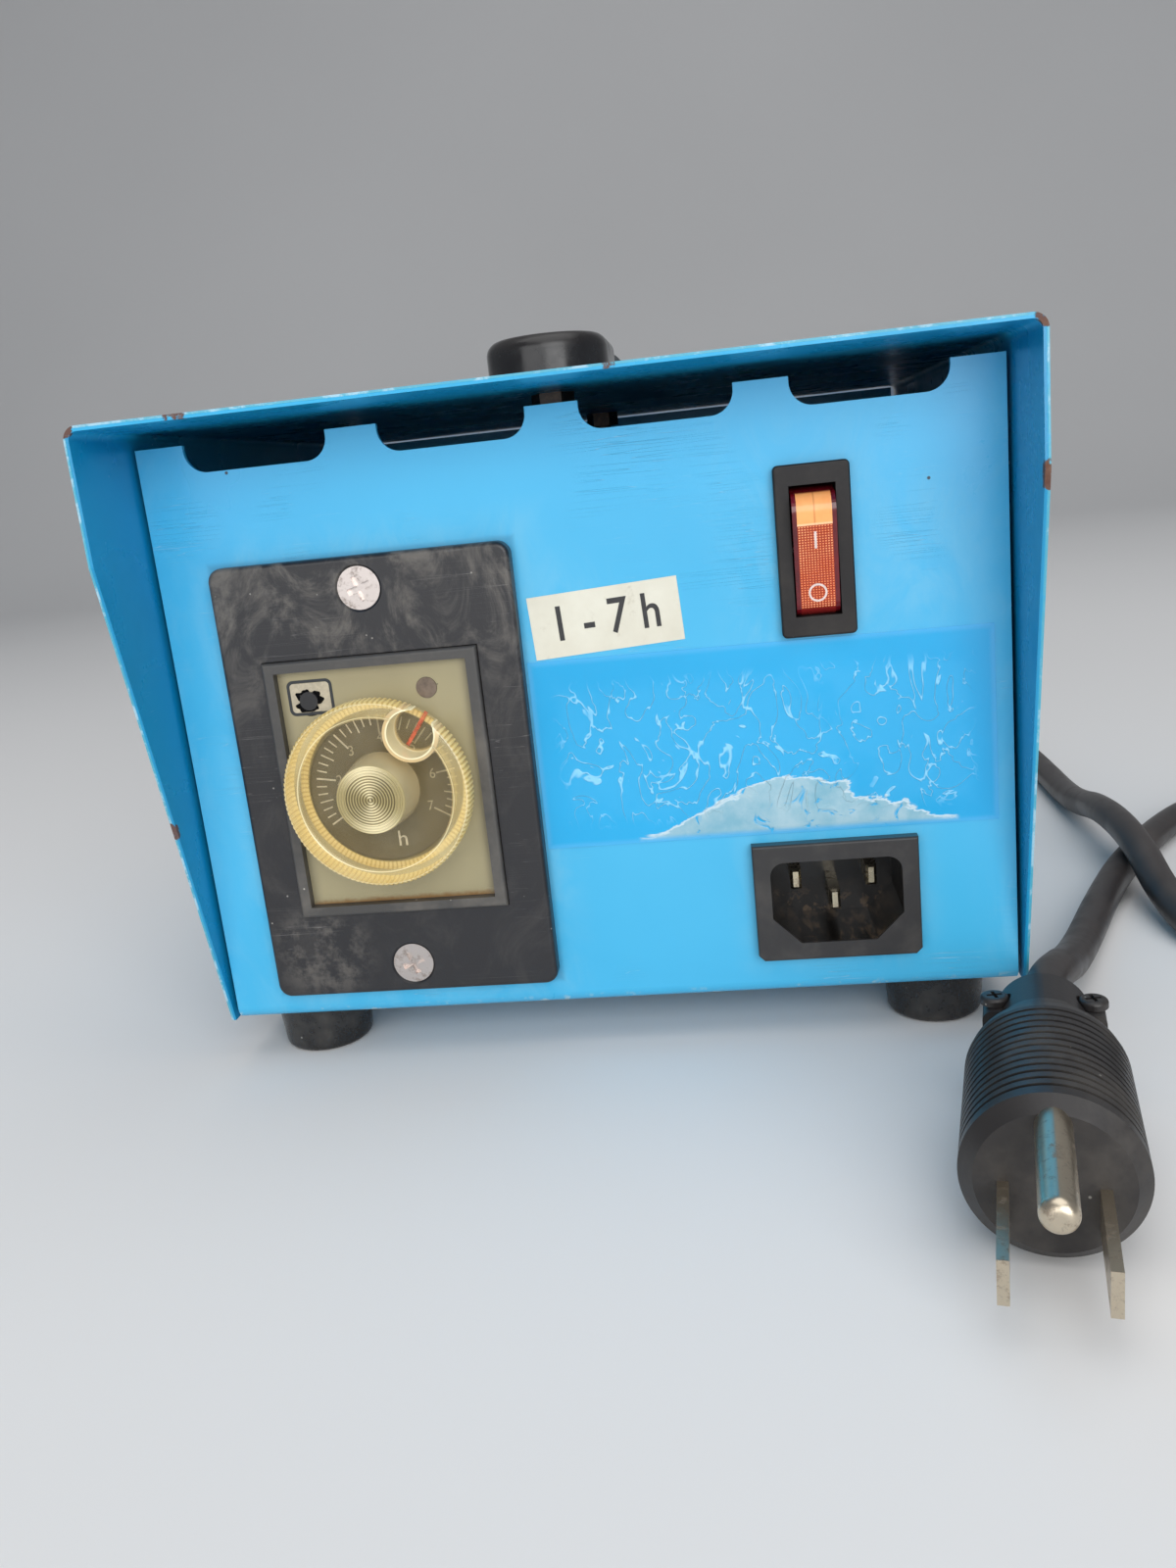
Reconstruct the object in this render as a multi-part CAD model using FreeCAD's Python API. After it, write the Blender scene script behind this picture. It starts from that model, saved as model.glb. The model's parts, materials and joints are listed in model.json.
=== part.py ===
"""Low-voltage power supply with a dial timer, in a hooded sheet-steel case with a strap handle.

The case is two folded sheets. The chassis is the front panel, floor and rear panel in one piece, and the
cover is the top and both sides, which reach past the front panel as a hood. The front panel carries a plug-in
timer on an adapter plate, an illuminated rocker switch and a three-pin appliance outlet. Inside are the
transformer, rectifier, capacitor, fuse block and terminal strip. A mains lead leaves through the rear panel.

Row frame in millimetres: X to the right seen from the front, Y towards the rear, Z up. The origin is on the
surface that the feet stand on, under the centre of the case.
"""

import FreeCAD
import Part

import math
import os

V = FreeCAD.Vector
X_AXIS, Y_AXIS, Z_AXIS = V(1, 0, 0), V(0, 1, 0), V(0, 0, 1)

# ---- Driving dimensions ----
SHEET = 0.9  # steel sheet
PANEL_W = 151.4
PANEL_H = 111.0
CASE_D = 145.0  # outside of front panel to outside of rear panel
HOOD_FRONT = 21.0  # how far the cover reaches past the front panel
HOOD_REAR = 12.0
HOOD_KINK = 92.0  # height above the floor sheet where the hood's side edge starts to slope
SIDE_GAP = 0.8  # panel edge to the inside of the cover
TOP_GAP = 2.9  # panel edge to the inside of the cover, at the top
BEND_OUT = 2.4
FOOT_H = 9.5

# ---- Levels that follow from them ----
Y_HOOD = -(HOOD_FRONT + CASE_D + HOOD_REAR) / 2
Y_PANEL = Y_HOOD + HOOD_FRONT  # outer face of the front panel
Y_INSIDE = Y_PANEL + SHEET
Y_REAR = Y_PANEL + CASE_D  # outer face of the rear panel
Y_BACK = -Y_HOOD
Z_BASE = FOOT_H  # underside of the floor sheet
Z_FLOOR = Z_BASE + SHEET
Z_PANEL_TOP = Z_BASE + PANEL_H
X_COVER = PANEL_W / 2 + SIDE_GAP + SHEET
Z_COVER = Z_PANEL_TOP + TOP_GAP + SHEET
Z_REAR_TOP = Z_COVER - SHEET - 0.4  # the rear panel reaches up nearly to the hood

# ---- Vent notches along the top edge of the front panel ----
NOTCH_COUNT = 4
NOTCH_PITCH = 35.7
NOTCH_W = 26.4
NOTCH_DEEP = 5.0
NOTCH_R = 4.0

# ---- Cover screws, two on each side ----
COVER_SCREW_Z = Z_BASE + 8.5
COVER_SCREW_YS = (Y_PANEL + 30, Y_REAR - 30)

# ---- Feet ----
FOOT_X = 62.0
FOOT_YS = (Y_PANEL + 12.0, Y_REAR - 12.0)
FOOT_R_TOP = 9.6
FOOT_R_LOW = 8.8

# ---- Timer, about its dial's axis ----
DIAL_X = -37.5
DIAL_Z = Z_BASE + 46.9
PLATE_W, PLATE_H, PLATE_T = 55.6, 83.5, 3.0
PLATE_Z = Z_BASE + 47.25
PLATE_SCREW_SPAN = 72.0
TIMER_W, TIMER_H = 40.1, 49.2
WINDOW_W, WINDOW_H = 35.8, 45.2
TIMER_D = 50.0  # body behind the panel's face
BEZEL_PROUD = 4.2  # in front of the panel's face
TIMER_Z = Z_BASE + 46.7
FACE_Y = Y_PANEL - 2.4  # front of the grey face
KNOB_R = 17.2
KNOB_FRONT = Y_PANEL - 11.2
KNOB_BACK = Y_PANEL - 4.0
KNOB_FLOOR = Y_PANEL - 5.4
KNOB_DISH_R = 13.9
BOSS_R = 6.4
BOSS_FRONT = Y_PANEL - 14.2
POINTER_DEG = 36.5  # clockwise from straight up, seen from the front: hour 5
POCKET_AT = 13.2  # pointer pocket's centre from the dial's axis
POCKET_R = 4.3
SHAFT_R = 3.0
RESET_X, RESET_Z = DIAL_X - 12.4, DIAL_Z + 16.8
RESET_R = 1.7
LED_X, LED_Z = DIAL_X + 9.8, DIAL_Z + 17.4
LED_R = 1.9
PCB_Y = Y_PANEL + 4.0  # front of the timer's board
OCTAL_Y = Y_PANEL + TIMER_D  # back of the timer's body
OCTAL_R = 8.75  # pins' pitch circle
OCTAL_ANGLES = [math.radians(22.5 + 45 * k) for k in range(8)]
OCTAL_PINS = [(OCTAL_R * math.cos(a), OCTAL_R * math.sin(a)) for a in OCTAL_ANGLES]

# ---- Rocker switch ----
ROCKER_X, ROCKER_Z = 43.1, Z_BASE + 82.0
ROCKER_BEZEL = (12.9, 29.4)
ROCKER_HOLE = (7.9, 22.3)
ROCKER_BODY = (10.8, 26.8, 20.0)
ROCKER_PIVOT_Y = Y_PANEL + 4.0
ROCKER_TILT = 8.0  # degrees from level, either way
ROCKER_W = 7.4
ROCKER_REACH = 10.9  # from the pivot to the rounded ends, just inside the hole
ROCKER_TABS = (-9.0, 0.0, 9.0)  # terminals, above and below the pivot

# ---- Appliance outlet ----
OUTLET_X, OUTLET_Z = 43.4, Z_BASE + 18.6
OUTLET_FLANGE = (29.9, 22.5, 2.5)
OUTLET_BODY = (26.8, 19.4, 17.0)
OUTLET_HOLE = (23.7, 15.8)
OUTLET_CORNER = 5.0
OUTLET_DEEP = 14.5
PIN_PITCH = 14.0

# ---- Labels ----
LABEL = (27.0, 11.3)
LABEL_AT = (5.8, Z_BASE + 73.5)
LABEL_TURN = 3.4
FILM = (82.0, 35.3)
FILM_AT = (31.8, Z_BASE + 49.1)
FILM_T = 0.15

# ---- Strap handle ----
HANDLE_X = -2.0
CAP_SCREW_Y = 48.0
CAP_W = 22.4
CAP_H = 8.8
CAP_INNER_Y = 36.0  # where the strap leaves the cap
STRAP_W, STRAP_T = 18.6, 3.2
STRAP_END = 53.0
STRAP_LOW, STRAP_HIGH = 2.3, 6.5  # centreline above the cover, at the ends and in the middle
GRIP_HALF = 22.0

# ---- Transformer ----
CORE_Y, CORE_H, CORE_STACK = 84.0, 70.0, 42.0
CORE_AT = (33.0, 14.0)
COIL_BULGE = 12.0
CORE_FOOT_LIFT = 4.0

# ---- Small parts on the floor sheet, by X and Y ----
RECT_AT = (-24.0, 26.0)
CAN_AT = (-54.0, 26.0)
CAN_R, CAN_L = 16.0, 50.0
STRIP_AT = (-44.0, 52.0)
FUSE_AT = (-8.0, 60.0)
GROUND_AT = (6.0, -50.0)

# ---- Mains lead ----
CORD_D = 7.2
EXIT = V(38.0, Y_REAR, 26.0)
RELIEF_L = 30.0
COIL_AT = V(184.0, -30.0, 0)
COIL_R = 38.0  # middle of the bundle of turns
COIL_TURN = 7.4  # from one turn to the next
COIL_OUT = COIL_TURN / 2 + CORD_D / 2  # middle of the bundle to its outside
# Centreline from the strain relief to the coil, and from the top of the coil to the plug
LEAD_OUT = [
    (38, 107, 26), (38, 122, 26), (39, 141, 21), (46, 160, 13), (61, 174.5, 6), (82, 179, 3.8),
    (102.5, 172.5, 3.6), (116.5, 156, 3.6), (121, 134, 3.6), (121.4, 104, 3.6), (120.2, 64, 4.2),
    (119.4, 34, 11.2), (119, 5, 11.2), (118.2, -16, 5.4), (119, -37, 3.6), (132, -59, 3.6), (156, -71.7, 3.6),
    (184, -71.7, 3.6),
]
LEAD_IN = [
    (222, -30, 18.3), (222, -8, 18.3), (221, 13, 11), (216, 33, 3.8), (204.5, 52, 3.6), (185.5, 63, 3.6),
    (163.5, 62, 3.6), (141, 46, 3.6), (118.5, 12, 3.6), (106, -13, 3.6), (95.5, -37, 3.8), (88.5, -54, 6.5),
    (82.1, -68.5, 11.4), (77.08, -79.22, 12.4), (75, -89, 12.4),
]

# ---- Plug, along its own axis from the cord's end ----
PLUG_R = 12.2
PLUG_NECK_L = 12.0
PLUG_BODY_L = 39.0
RIB_COUNT, RIB_PITCH, RIB_GROOVE = 13, 1.95, 0.7
BLADE_L = 17.0
EARTH_L = 21.0
PLUG_AT = V(75, -89, 12.4)
PLUG_TURN = 12.0  # degrees from straight forward, towards -X


# ---- Helpers ----
def block(x0, x1, y0, y1, z0, z1):
    return Part.makeBox(x1 - x0, y1 - y0, z1 - z0, V(x0, y0, z0))


def plate_block(x, z, w, h, y0, y1):
    """A block centred on (x, z), from y0 back to y1."""
    return block(x - w / 2, x + w / 2, y0, y1, z - h / 2, z + h / 2)


def rod_y(x, z, r, y0, y1):
    return Part.makeCylinder(r, y1 - y0, V(x, y0, z), Y_AXIS)


def rod_z(x, y, r, z0, z1):
    return Part.makeCylinder(r, z1 - z0, V(x, y, z0), Z_AXIS)


def rod_x(y, z, r, x0, x1):
    return Part.makeCylinder(r, x1 - x0, V(x0, y, z), X_AXIS)


def near(a, b):
    return abs(a - b) < 1e-4


def edges_along(shape, axis, test=lambda p: True):
    """Straight edges parallel to the axis whose end points both pass the test."""
    return [
        e for e in shape.Edges
        if isinstance(e.Curve, Part.Line) and near(abs(e.tangentAt(e.FirstParameter).dot(axis)), 1)
        and all(test(v.Point) for v in e.Vertexes)
    ]


def front_edges(shape, y):
    """All edges lying in the plane at this y."""
    return [e for e in shape.Edges if near(e.BoundBox.YMax, y) and near(e.BoundBox.YMin, y)]


def prism(points, direction):
    """A polygon of points swept along a direction."""
    return Part.Face(Part.makePolygon([V(*p) for p in points + points[:1]])).extrude(direction)


def fused(shapes):
    whole = shapes[0].fuse(shapes[1:]) if len(shapes) > 1 else shapes[0]
    return whole.removeSplitter()


def save(name, *shapes):
    """One STEP file for a node, of one solid or a group of separate solids."""
    solids = [s for shape in shapes for s in shape.Solids]
    whole = solids[0] if len(solids) == 1 else Part.makeCompound(solids)
    for s in solids:
        if not s.isValid() or s.Volume <= 0:
            raise ValueError(f"{name} has a bad solid")
    whole.exportStep(f"parts/{name}.step")


def pan_screw(at, out, shank_r, shank_l, head_r, head_h):
    """A pan-head screw: the head stands out along `out` from `at`, and the shank goes the other way."""
    head = Part.makeCylinder(head_r, head_h, at, out)
    circles = [e for e in head.Edges if isinstance(e.Curve, Part.Circle)]
    rims = [e for e in circles if not near((e.Curve.Center - at).Length, 0)]
    head = head.makeFillet(head_h * 0.45, rims)
    shank = Part.makeCylinder(shank_r, shank_l + 0.5, at - out * shank_l, out)
    cross = fused([
        cross_blade(at + out * head_h, out, head_r * 1.1, head_r * 0.26, turn, head_h * 0.55)
        for turn in (0, 90)
    ])
    return fused([head, shank]).cut(cross)


def cross_blade(at, out, length, width, turn, deep):
    """One arm pair of a cross recess, sunk into a screw head whose top is at `at`."""
    blade = Part.makeBox(length, width, deep * 2, V(-length / 2, -width / 2, -deep))
    blade.rotate(V(0, 0, 0), Z_AXIS, turn + 20)
    blade.Placement = FreeCAD.Placement(at, FreeCAD.Rotation(Z_AXIS, out)).multiply(blade.Placement)
    return blade


def hex_nut(at, out, across, bore_r, height):
    """A hexagon nut sitting on `at`, standing out along `out`."""
    corner = across / math.sqrt(3)
    angles = [math.radians(60 * k) for k in range(6)]
    ring = [V(corner * math.cos(a), corner * math.sin(a), 0) for a in angles]
    nut = Part.Face(Part.makePolygon(ring + ring[:1])).extrude(V(0, 0, height))
    nut = nut.cut(Part.makeCylinder(bore_r, height * 2, V(0, 0, -height / 2), Z_AXIS))
    nut.Placement = FreeCAD.Placement(at, FreeCAD.Rotation(Z_AXIS, out))
    return nut


# ---- Case ----
def vent_notches(y0, y1):
    cutters = []
    for k in range(NOTCH_COUNT):
        x = (k - (NOTCH_COUNT - 1) / 2) * NOTCH_PITCH
        low = Z_PANEL_TOP - NOTCH_DEEP
        cutter = block(x - NOTCH_W / 2, x + NOTCH_W / 2, y0, y1, low, Z_PANEL_TOP + 5)
        cutters.append(cutter.makeFillet(NOTCH_R, edges_along(cutter, Y_AXIS, lambda p: near(p.z, low))))
    return cutters


def chassis():
    half = PANEL_W / 2
    shell = block(-half, half, Y_PANEL, Y_REAR, Z_BASE, Z_REAR_TOP)
    shell = shell.cut(block(-half - 1, half + 1, Y_INSIDE, Y_REAR - SHEET, Z_FLOOR, Z_REAR_TOP + 1))
    shell = shell.makeFillet(BEND_OUT, edges_along(shell, X_AXIS, lambda p: near(p.z, Z_BASE)))
    shell = shell.makeFillet(BEND_OUT - SHEET, edges_along(shell, X_AXIS, lambda p: near(p.z, Z_FLOOR)))
    flanges = [
        block(s * half - (SHEET if s > 0 else 0), s * half + (SHEET if s < 0 else 0),
              Y_PANEL + 6, Y_REAR - 6, Z_BASE + 0.6, Z_BASE + 15)
        for s in (-1, 1)
    ]
    shell = fused([shell] + flanges)
    cuts = vent_notches(Y_PANEL - 5, Y_INSIDE + 5)
    cuts.append(block(-half - 1, half + 1, Y_PANEL - 1, Y_INSIDE + 1, Z_PANEL_TOP, Z_REAR_TOP + 1))
    cuts.append(plate_block(DIAL_X, TIMER_Z, TIMER_W + 1.4, TIMER_H + 1.4, Y_PANEL - 1, Y_INSIDE + 1))
    through = (Y_PANEL - 1, Y_INSIDE + 1)
    cuts.append(plate_block(ROCKER_X, ROCKER_Z, ROCKER_BODY[0] + 0.2, ROCKER_BODY[1] + 0.2, *through))
    cuts.append(plate_block(OUTLET_X, OUTLET_Z, OUTLET_BODY[0] + 0.2, OUTLET_BODY[1] + 0.2, *through))
    cuts += [rod_y(DIAL_X, PLATE_Z + s * PLATE_SCREW_SPAN / 2, 2.2, *through) for s in (-1, 1)]
    cuts.append(rod_y(EXIT.x, EXIT.z, 8.0, Y_REAR - 3, Y_REAR + 1))
    cuts += [rod_z(s * FOOT_X, y, 2.2, Z_BASE - 1, Z_FLOOR + 1) for s in (-1, 1) for y in FOOT_YS]
    cuts += [rod_z(x, y, 2.2, Z_BASE - 1, Z_FLOOR + 1) for x, y in core_feet()]
    cuts += [
        rod_x(y, COVER_SCREW_Z, 1.6, s * half - 3, s * half + 3)
        for s in (-1, 1) for y in COVER_SCREW_YS
    ]
    cuts += [rod_z(x, y, 1.7, Z_BASE - 1, Z_FLOOR + 1) for x, y in floor_screws()]
    return shell.cut(cuts)


def hood_cutter(y_tip, y_panel, x_reach):
    """What is cut from a cover side so that its edge slopes back to the panel's foot."""
    past = 5 if y_tip > 0 else -5
    points = [
        (-x_reach, y_tip, Z_BASE + HOOD_KINK), (-x_reach, y_panel, Z_BASE),
        (-x_reach, y_panel, Z_BASE - 5), (-x_reach, y_tip + past, Z_BASE - 5),
        (-x_reach, y_tip + past, Z_BASE + HOOD_KINK),
    ]
    return prism(points, V(2 * x_reach, 0, 0))


def top_cover():
    shell = block(-X_COVER, X_COVER, Y_HOOD, Y_BACK, Z_BASE, Z_COVER)
    inner_x = X_COVER - SHEET
    shell = shell.cut(block(-inner_x, inner_x, Y_HOOD - 1, Y_BACK + 1, Z_BASE - 1, Z_COVER - SHEET))
    shell = shell.makeFillet(BEND_OUT, edges_along(shell, Y_AXIS, lambda p: near(p.z, Z_COVER)))
    ceiling = edges_along(shell, Y_AXIS, lambda p: near(p.z, Z_COVER - SHEET))
    shell = shell.makeFillet(BEND_OUT - SHEET, ceiling)
    shell = shell.cut([hood_cutter(Y_HOOD, Y_PANEL, X_COVER + 1), hood_cutter(Y_BACK, Y_REAR, X_COVER + 1)])
    holes = [rod_z(HANDLE_X, s * CAP_SCREW_Y, 2.2, Z_COVER - 5, Z_COVER + 5) for s in (-1, 1)]
    holes += [
        rod_x(y, COVER_SCREW_Z, 2.0, s * X_COVER - 3, s * X_COVER + 3)
        for s in (-1, 1) for y in COVER_SCREW_YS
    ]
    return shell.cut(holes)


def cover_screws():
    return [
        pan_screw(V(s * X_COVER, y, COVER_SCREW_Z), V(s, 0, 0), 1.5, 5.5, 3.4, 1.8)
        for s in (-1, 1) for y in COVER_SCREW_YS
    ]


# ---- Feet ----
def feet():
    made = []
    for s in (-1, 1):
        for y in FOOT_YS:
            foot = Part.makeCone(FOOT_R_LOW, FOOT_R_TOP, FOOT_H, V(s * FOOT_X, y, 0), Z_AXIS)
            rim = [e for e in foot.Edges if isinstance(e.Curve, Part.Circle) and near(e.Curve.Center.z, 0)]
            foot = foot.makeFillet(1.3, rim)
            foot = foot.cut(rod_z(s * FOOT_X, y, 5.2, -1, 4.5))
            made.append(foot.cut(rod_z(s * FOOT_X, y, 2.3, 0, FOOT_H + 1)))
    return made


def foot_screws():
    return [
        pan_screw(V(s * FOOT_X, y, 3.7), V(0, 0, -1), 1.95, 12.0, 3.8, 2.2)
        for s in (-1, 1) for y in FOOT_YS
    ]


def foot_washers():
    return [
        rod_z(s * FOOT_X, y, 5.0, 3.7, 4.5).cut(rod_z(s * FOOT_X, y, 2.2, 3, 5))
        for s in (-1, 1) for y in FOOT_YS
    ]


def foot_nuts():
    return [hex_nut(V(s * FOOT_X, y, Z_FLOOR), Z_AXIS, 7.0, 2.0, 3.0) for s in (-1, 1) for y in FOOT_YS]


# ---- Strap handle ----
def strap_radius():
    rise = STRAP_HIGH - STRAP_LOW
    return (STRAP_END**2 + rise**2) / (2 * rise)


def strap_layer(half_t, half_w, y0, y1):
    """A length of the strap, bent to its arch: a slice of a ring about the arch's centre."""
    r = strap_radius()
    centre_z = Z_COVER + STRAP_HIGH - r
    ring = rod_x(0, centre_z, r + half_t, HANDLE_X - half_w, HANDLE_X + half_w)
    ring = ring.cut(rod_x(0, centre_z, r - half_t, HANDLE_X - half_w - 1, HANDLE_X + half_w + 1))
    return ring.common(block(HANDLE_X - 30, HANDLE_X + 30, y0, y1, Z_COVER, Z_COVER + 20))


def strap_run(y0, y1):
    run = strap_layer(STRAP_T / 2, STRAP_W / 2, y0, y1)
    z0, z1 = Z_COVER, Z_COVER + 12
    slot = []
    for y in (-CAP_SCREW_Y, CAP_SCREW_Y):
        slot += [rod_z(HANDLE_X, y + k, 2.6, z0, z1) for k in (-2, 2)]
        slot.append(block(HANDLE_X - 2.6, HANDLE_X + 2.6, y - 2, y + 2, z0, z1))
    return run.cut(slot)


def handle_cap(s):
    """The moulded end cap on side s of the handle: rounded at its outer end, open where the strap comes in."""
    r = CAP_W / 2
    round_y = CAP_SCREW_Y + 1.3
    body = rod_z(HANDLE_X, s * round_y, r, Z_COVER, Z_COVER + CAP_H)
    y0, y1 = sorted((s * CAP_INNER_Y, s * round_y))
    body = fused([body, block(HANDLE_X - r, HANDLE_X + r, y0, y1, Z_COVER, Z_COVER + CAP_H)])
    body = body.makeFillet(2.6, [e for e in body.Edges if near(e.BoundBox.ZMin, Z_COVER + CAP_H)])
    tunnel_ys = sorted((s * (CAP_INNER_Y - 2), s * (STRAP_END + 1.5)))
    tunnel = strap_layer(STRAP_T / 2 + 0.35, STRAP_W / 2 + 0.35, *tunnel_ys)
    floor = block(HANDLE_X - 9.6, HANDLE_X + 9.6, *sorted((s * (CAP_SCREW_Y - 7), s * (STRAP_END + 1.5))),
                  Z_COVER - 1, Z_COVER + 2.4)
    hole = rod_z(HANDLE_X, s * CAP_SCREW_Y, 2.2, Z_COVER - 1, Z_COVER + CAP_H + 1)
    sink = Part.makeCone(2.2, 4.3, 2.3, V(HANDLE_X, s * CAP_SCREW_Y, Z_COVER + CAP_H - 2.2), Z_AXIS)
    return body.cut([tunnel, floor, hole, sink]).Solids[0]


def flat_screw(at, out, shank_r, shank_l, head_r, head_h):
    """A countersunk screw whose head's flat top is at `at`; the shank goes against `out`."""
    head = Part.makeCone(shank_r, head_r, head_h, at - out * head_h, out)
    shank = Part.makeCylinder(shank_r, shank_l, at - out * shank_l, out)
    blades = [cross_blade(at, out, head_r * 1.15, head_r * 0.28, turn, head_h * 0.6) for turn in (0, 90)]
    return fused([head, shank]).cut(fused(blades))


def handle_screws():
    z, length = Z_COVER + CAP_H - 0.1, CAP_H + SHEET + 5
    return [flat_screw(V(HANDLE_X, s * CAP_SCREW_Y, z), Z_AXIS, 2.0, length, 4.0, 2.1) for s in (-1, 1)]


def handle_nuts():
    return [
        hex_nut(V(HANDLE_X, s * CAP_SCREW_Y, Z_COVER - SHEET), V(0, 0, -1), 7.0, 2.02, 3.2) for s in (-1, 1)
    ]


# ---- Timer ----
def timer_plate():
    y0 = Y_PANEL - PLATE_T
    plate = plate_block(DIAL_X, PLATE_Z, PLATE_W, PLATE_H, y0, Y_PANEL)
    plate = plate.makeFillet(2.5, edges_along(plate, Y_AXIS))
    plate = plate.makeFillet(0.9, front_edges(plate, y0))
    cuts = [plate_block(DIAL_X, TIMER_Z, TIMER_W + 0.3, TIMER_H + 0.3, y0 - 1, Y_PANEL + 1)]
    for s in (-1, 1):
        z = PLATE_Z + s * PLATE_SCREW_SPAN / 2
        cuts.append(rod_y(DIAL_X, z, 2.2, y0 - 1, Y_PANEL + 1))
        cuts.append(Part.makeCone(4.3, 2.2, 2.2, V(DIAL_X, y0, z), Y_AXIS))
    return plate.cut(cuts)


def plate_screws():
    return [
        flat_screw(V(DIAL_X, Y_PANEL - PLATE_T + 0.25, PLATE_Z + s * PLATE_SCREW_SPAN / 2), V(0, -1, 0),
                   2.0, PLATE_T + 7, 3.9, 1.9)
        for s in (-1, 1)
    ]


def plate_nuts():
    return [
        hex_nut(V(DIAL_X, Y_INSIDE, PLATE_Z + s * PLATE_SCREW_SPAN / 2), Y_AXIS, 7.0, 2.02, 3.0)
        for s in (-1, 1)
    ]


def timer_case():
    """The timer's moulded case: a sloping bezel round the window, and a box closed at the back."""
    front = Y_PANEL - BEZEL_PROUD
    case = plate_block(DIAL_X, TIMER_Z, TIMER_W, TIMER_H, front, Y_PANEL + TIMER_D)
    case = case.makeFillet(0.6, front_edges(case, front))
    cavity = plate_block(DIAL_X, TIMER_Z, WINDOW_W, WINDOW_H, front - 1, Y_PANEL + TIMER_D - 2)
    bore = rod_y(DIAL_X, TIMER_Z, 14.0, Y_PANEL + TIMER_D - 3, Y_PANEL + TIMER_D + 1)
    return case.cut([cavity, bore])


def timer_face():
    face = plate_block(DIAL_X, TIMER_Z, WINDOW_W - 0.1, WINDOW_H - 0.1, FACE_Y, FACE_Y + 1.2)
    return face.cut([
        rod_y(DIAL_X, DIAL_Z, 4.0, FACE_Y - 1, FACE_Y + 2),
        rod_y(RESET_X, RESET_Z, 2.5, FACE_Y - 1, FACE_Y + 2),
        rod_y(LED_X, LED_Z, LED_R + 0.05, FACE_Y - 1, FACE_Y + 2),
    ])


def dial_scale():
    disc = rod_y(DIAL_X, DIAL_Z, 15.2, FACE_Y - 0.7, FACE_Y)
    return disc.cut(rod_y(DIAL_X, DIAL_Z, 4.0, FACE_Y - 1, FACE_Y + 1))


def pocket_centre():
    a = math.radians(POINTER_DEG)
    return DIAL_X + POCKET_AT * math.sin(a), DIAL_Z + POCKET_AT * math.cos(a)


def dial_knob():
    """The clear knob: a dished disc with a raised rim, a centre boss, and a pocket for the pointer."""
    rim = rod_y(DIAL_X, DIAL_Z, KNOB_R, KNOB_FRONT, KNOB_FRONT + 4.5)
    skirt_front = V(DIAL_X, KNOB_FRONT + 4.5, DIAL_Z)
    skirt = Part.makeCone(KNOB_R, KNOB_R - 1.2, KNOB_BACK - KNOB_FRONT - 4.5, skirt_front, Y_AXIS)
    knob = fused([rim, skirt])
    circles = [e for e in knob.Edges if isinstance(e.Curve, Part.Circle)]
    front = [e for e in circles if near(e.Curve.Center.y, KNOB_FRONT)]
    knob = knob.makeFillet(0.8, front)
    knob = knob.cut(rod_y(DIAL_X, DIAL_Z, KNOB_DISH_R, KNOB_FRONT - 1, KNOB_FLOOR))
    px, pz = pocket_centre()
    wall = rod_y(px, pz, POCKET_R + 1.0, KNOB_FRONT + 0.4, KNOB_BACK)
    wall = wall.common(rod_y(DIAL_X, DIAL_Z, KNOB_R - 0.6, KNOB_FRONT, KNOB_BACK))
    boss_front = V(DIAL_X, BOSS_FRONT, DIAL_Z)
    boss = Part.makeCone(BOSS_R, BOSS_R + 0.5, KNOB_FLOOR - BOSS_FRONT + 0.2, boss_front, Y_AXIS)
    boss = boss.makeFillet(0.7, front_edges(boss, BOSS_FRONT))
    knob = fused([knob, wall, boss])
    pocket = rod_y(px, pz, POCKET_R, KNOB_FRONT - 1, KNOB_FLOOR)
    bore = rod_y(DIAL_X, DIAL_Z, SHAFT_R, BOSS_FRONT + 2.2, KNOB_BACK + 1)
    return knob.cut([pocket, bore])


def dial_pointer():
    """The red line on the pocket's floor."""
    px, pz = pocket_centre()
    line = block(-0.35, 0.35, KNOB_FLOOR - 0.3, KNOB_FLOOR, -3.6, 3.6)
    line.rotate(V(0, 0, 0), Y_AXIS, POINTER_DEG)
    line.translate(V(px, 0, pz))
    return line


def dial_shaft():
    shaft = rod_y(DIAL_X, DIAL_Z, SHAFT_R, BOSS_FRONT + 2.2, Y_PANEL + 9)
    return shaft


def timer_board():
    board = plate_block(DIAL_X, TIMER_Z, WINDOW_W - 1.2, WINDOW_H - 1.2, PCB_Y, PCB_Y + 1.6)
    return board.cut(rod_y(DIAL_X, DIAL_Z, 4.2, PCB_Y - 1, PCB_Y + 3))


def dial_potentiometer():
    """The potentiometer that reads the dial, with its threaded neck through the board."""
    body = rod_y(DIAL_X, DIAL_Z, 8.5, PCB_Y + 1.6, PCB_Y + 10)
    neck = rod_y(DIAL_X, DIAL_Z, 4.1, PCB_Y - 3.4, PCB_Y + 2)
    return fused([body, neck]).cut(rod_y(DIAL_X, DIAL_Z, SHAFT_R + 0.05, PCB_Y - 4, Y_PANEL + 9.5))


def reset_button():
    return rod_y(RESET_X, RESET_Z, RESET_R, FACE_Y - 0.6, Y_PANEL + 1.6)


def reset_switch():
    body = plate_block(RESET_X, RESET_Z, 6.0, 6.0, Y_PANEL + 0.6, PCB_Y)
    return body.cut(rod_y(RESET_X, RESET_Z, RESET_R + 0.1, Y_PANEL, Y_PANEL + 3.0))


def run_lamp():
    lens = rod_y(LED_X, LED_Z, LED_R, FACE_Y - 0.15, PCB_Y)
    return lens


def timer_relay():
    return plate_block(DIAL_X, TIMER_Z - 15.0, 20.0, 11.0, PCB_Y + 1.6, PCB_Y + 17)


def timer_smoothing_can():
    return rod_y(DIAL_X + 8, TIMER_Z + 15.5, 5.0, PCB_Y + 1.6, PCB_Y + 18)


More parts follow.
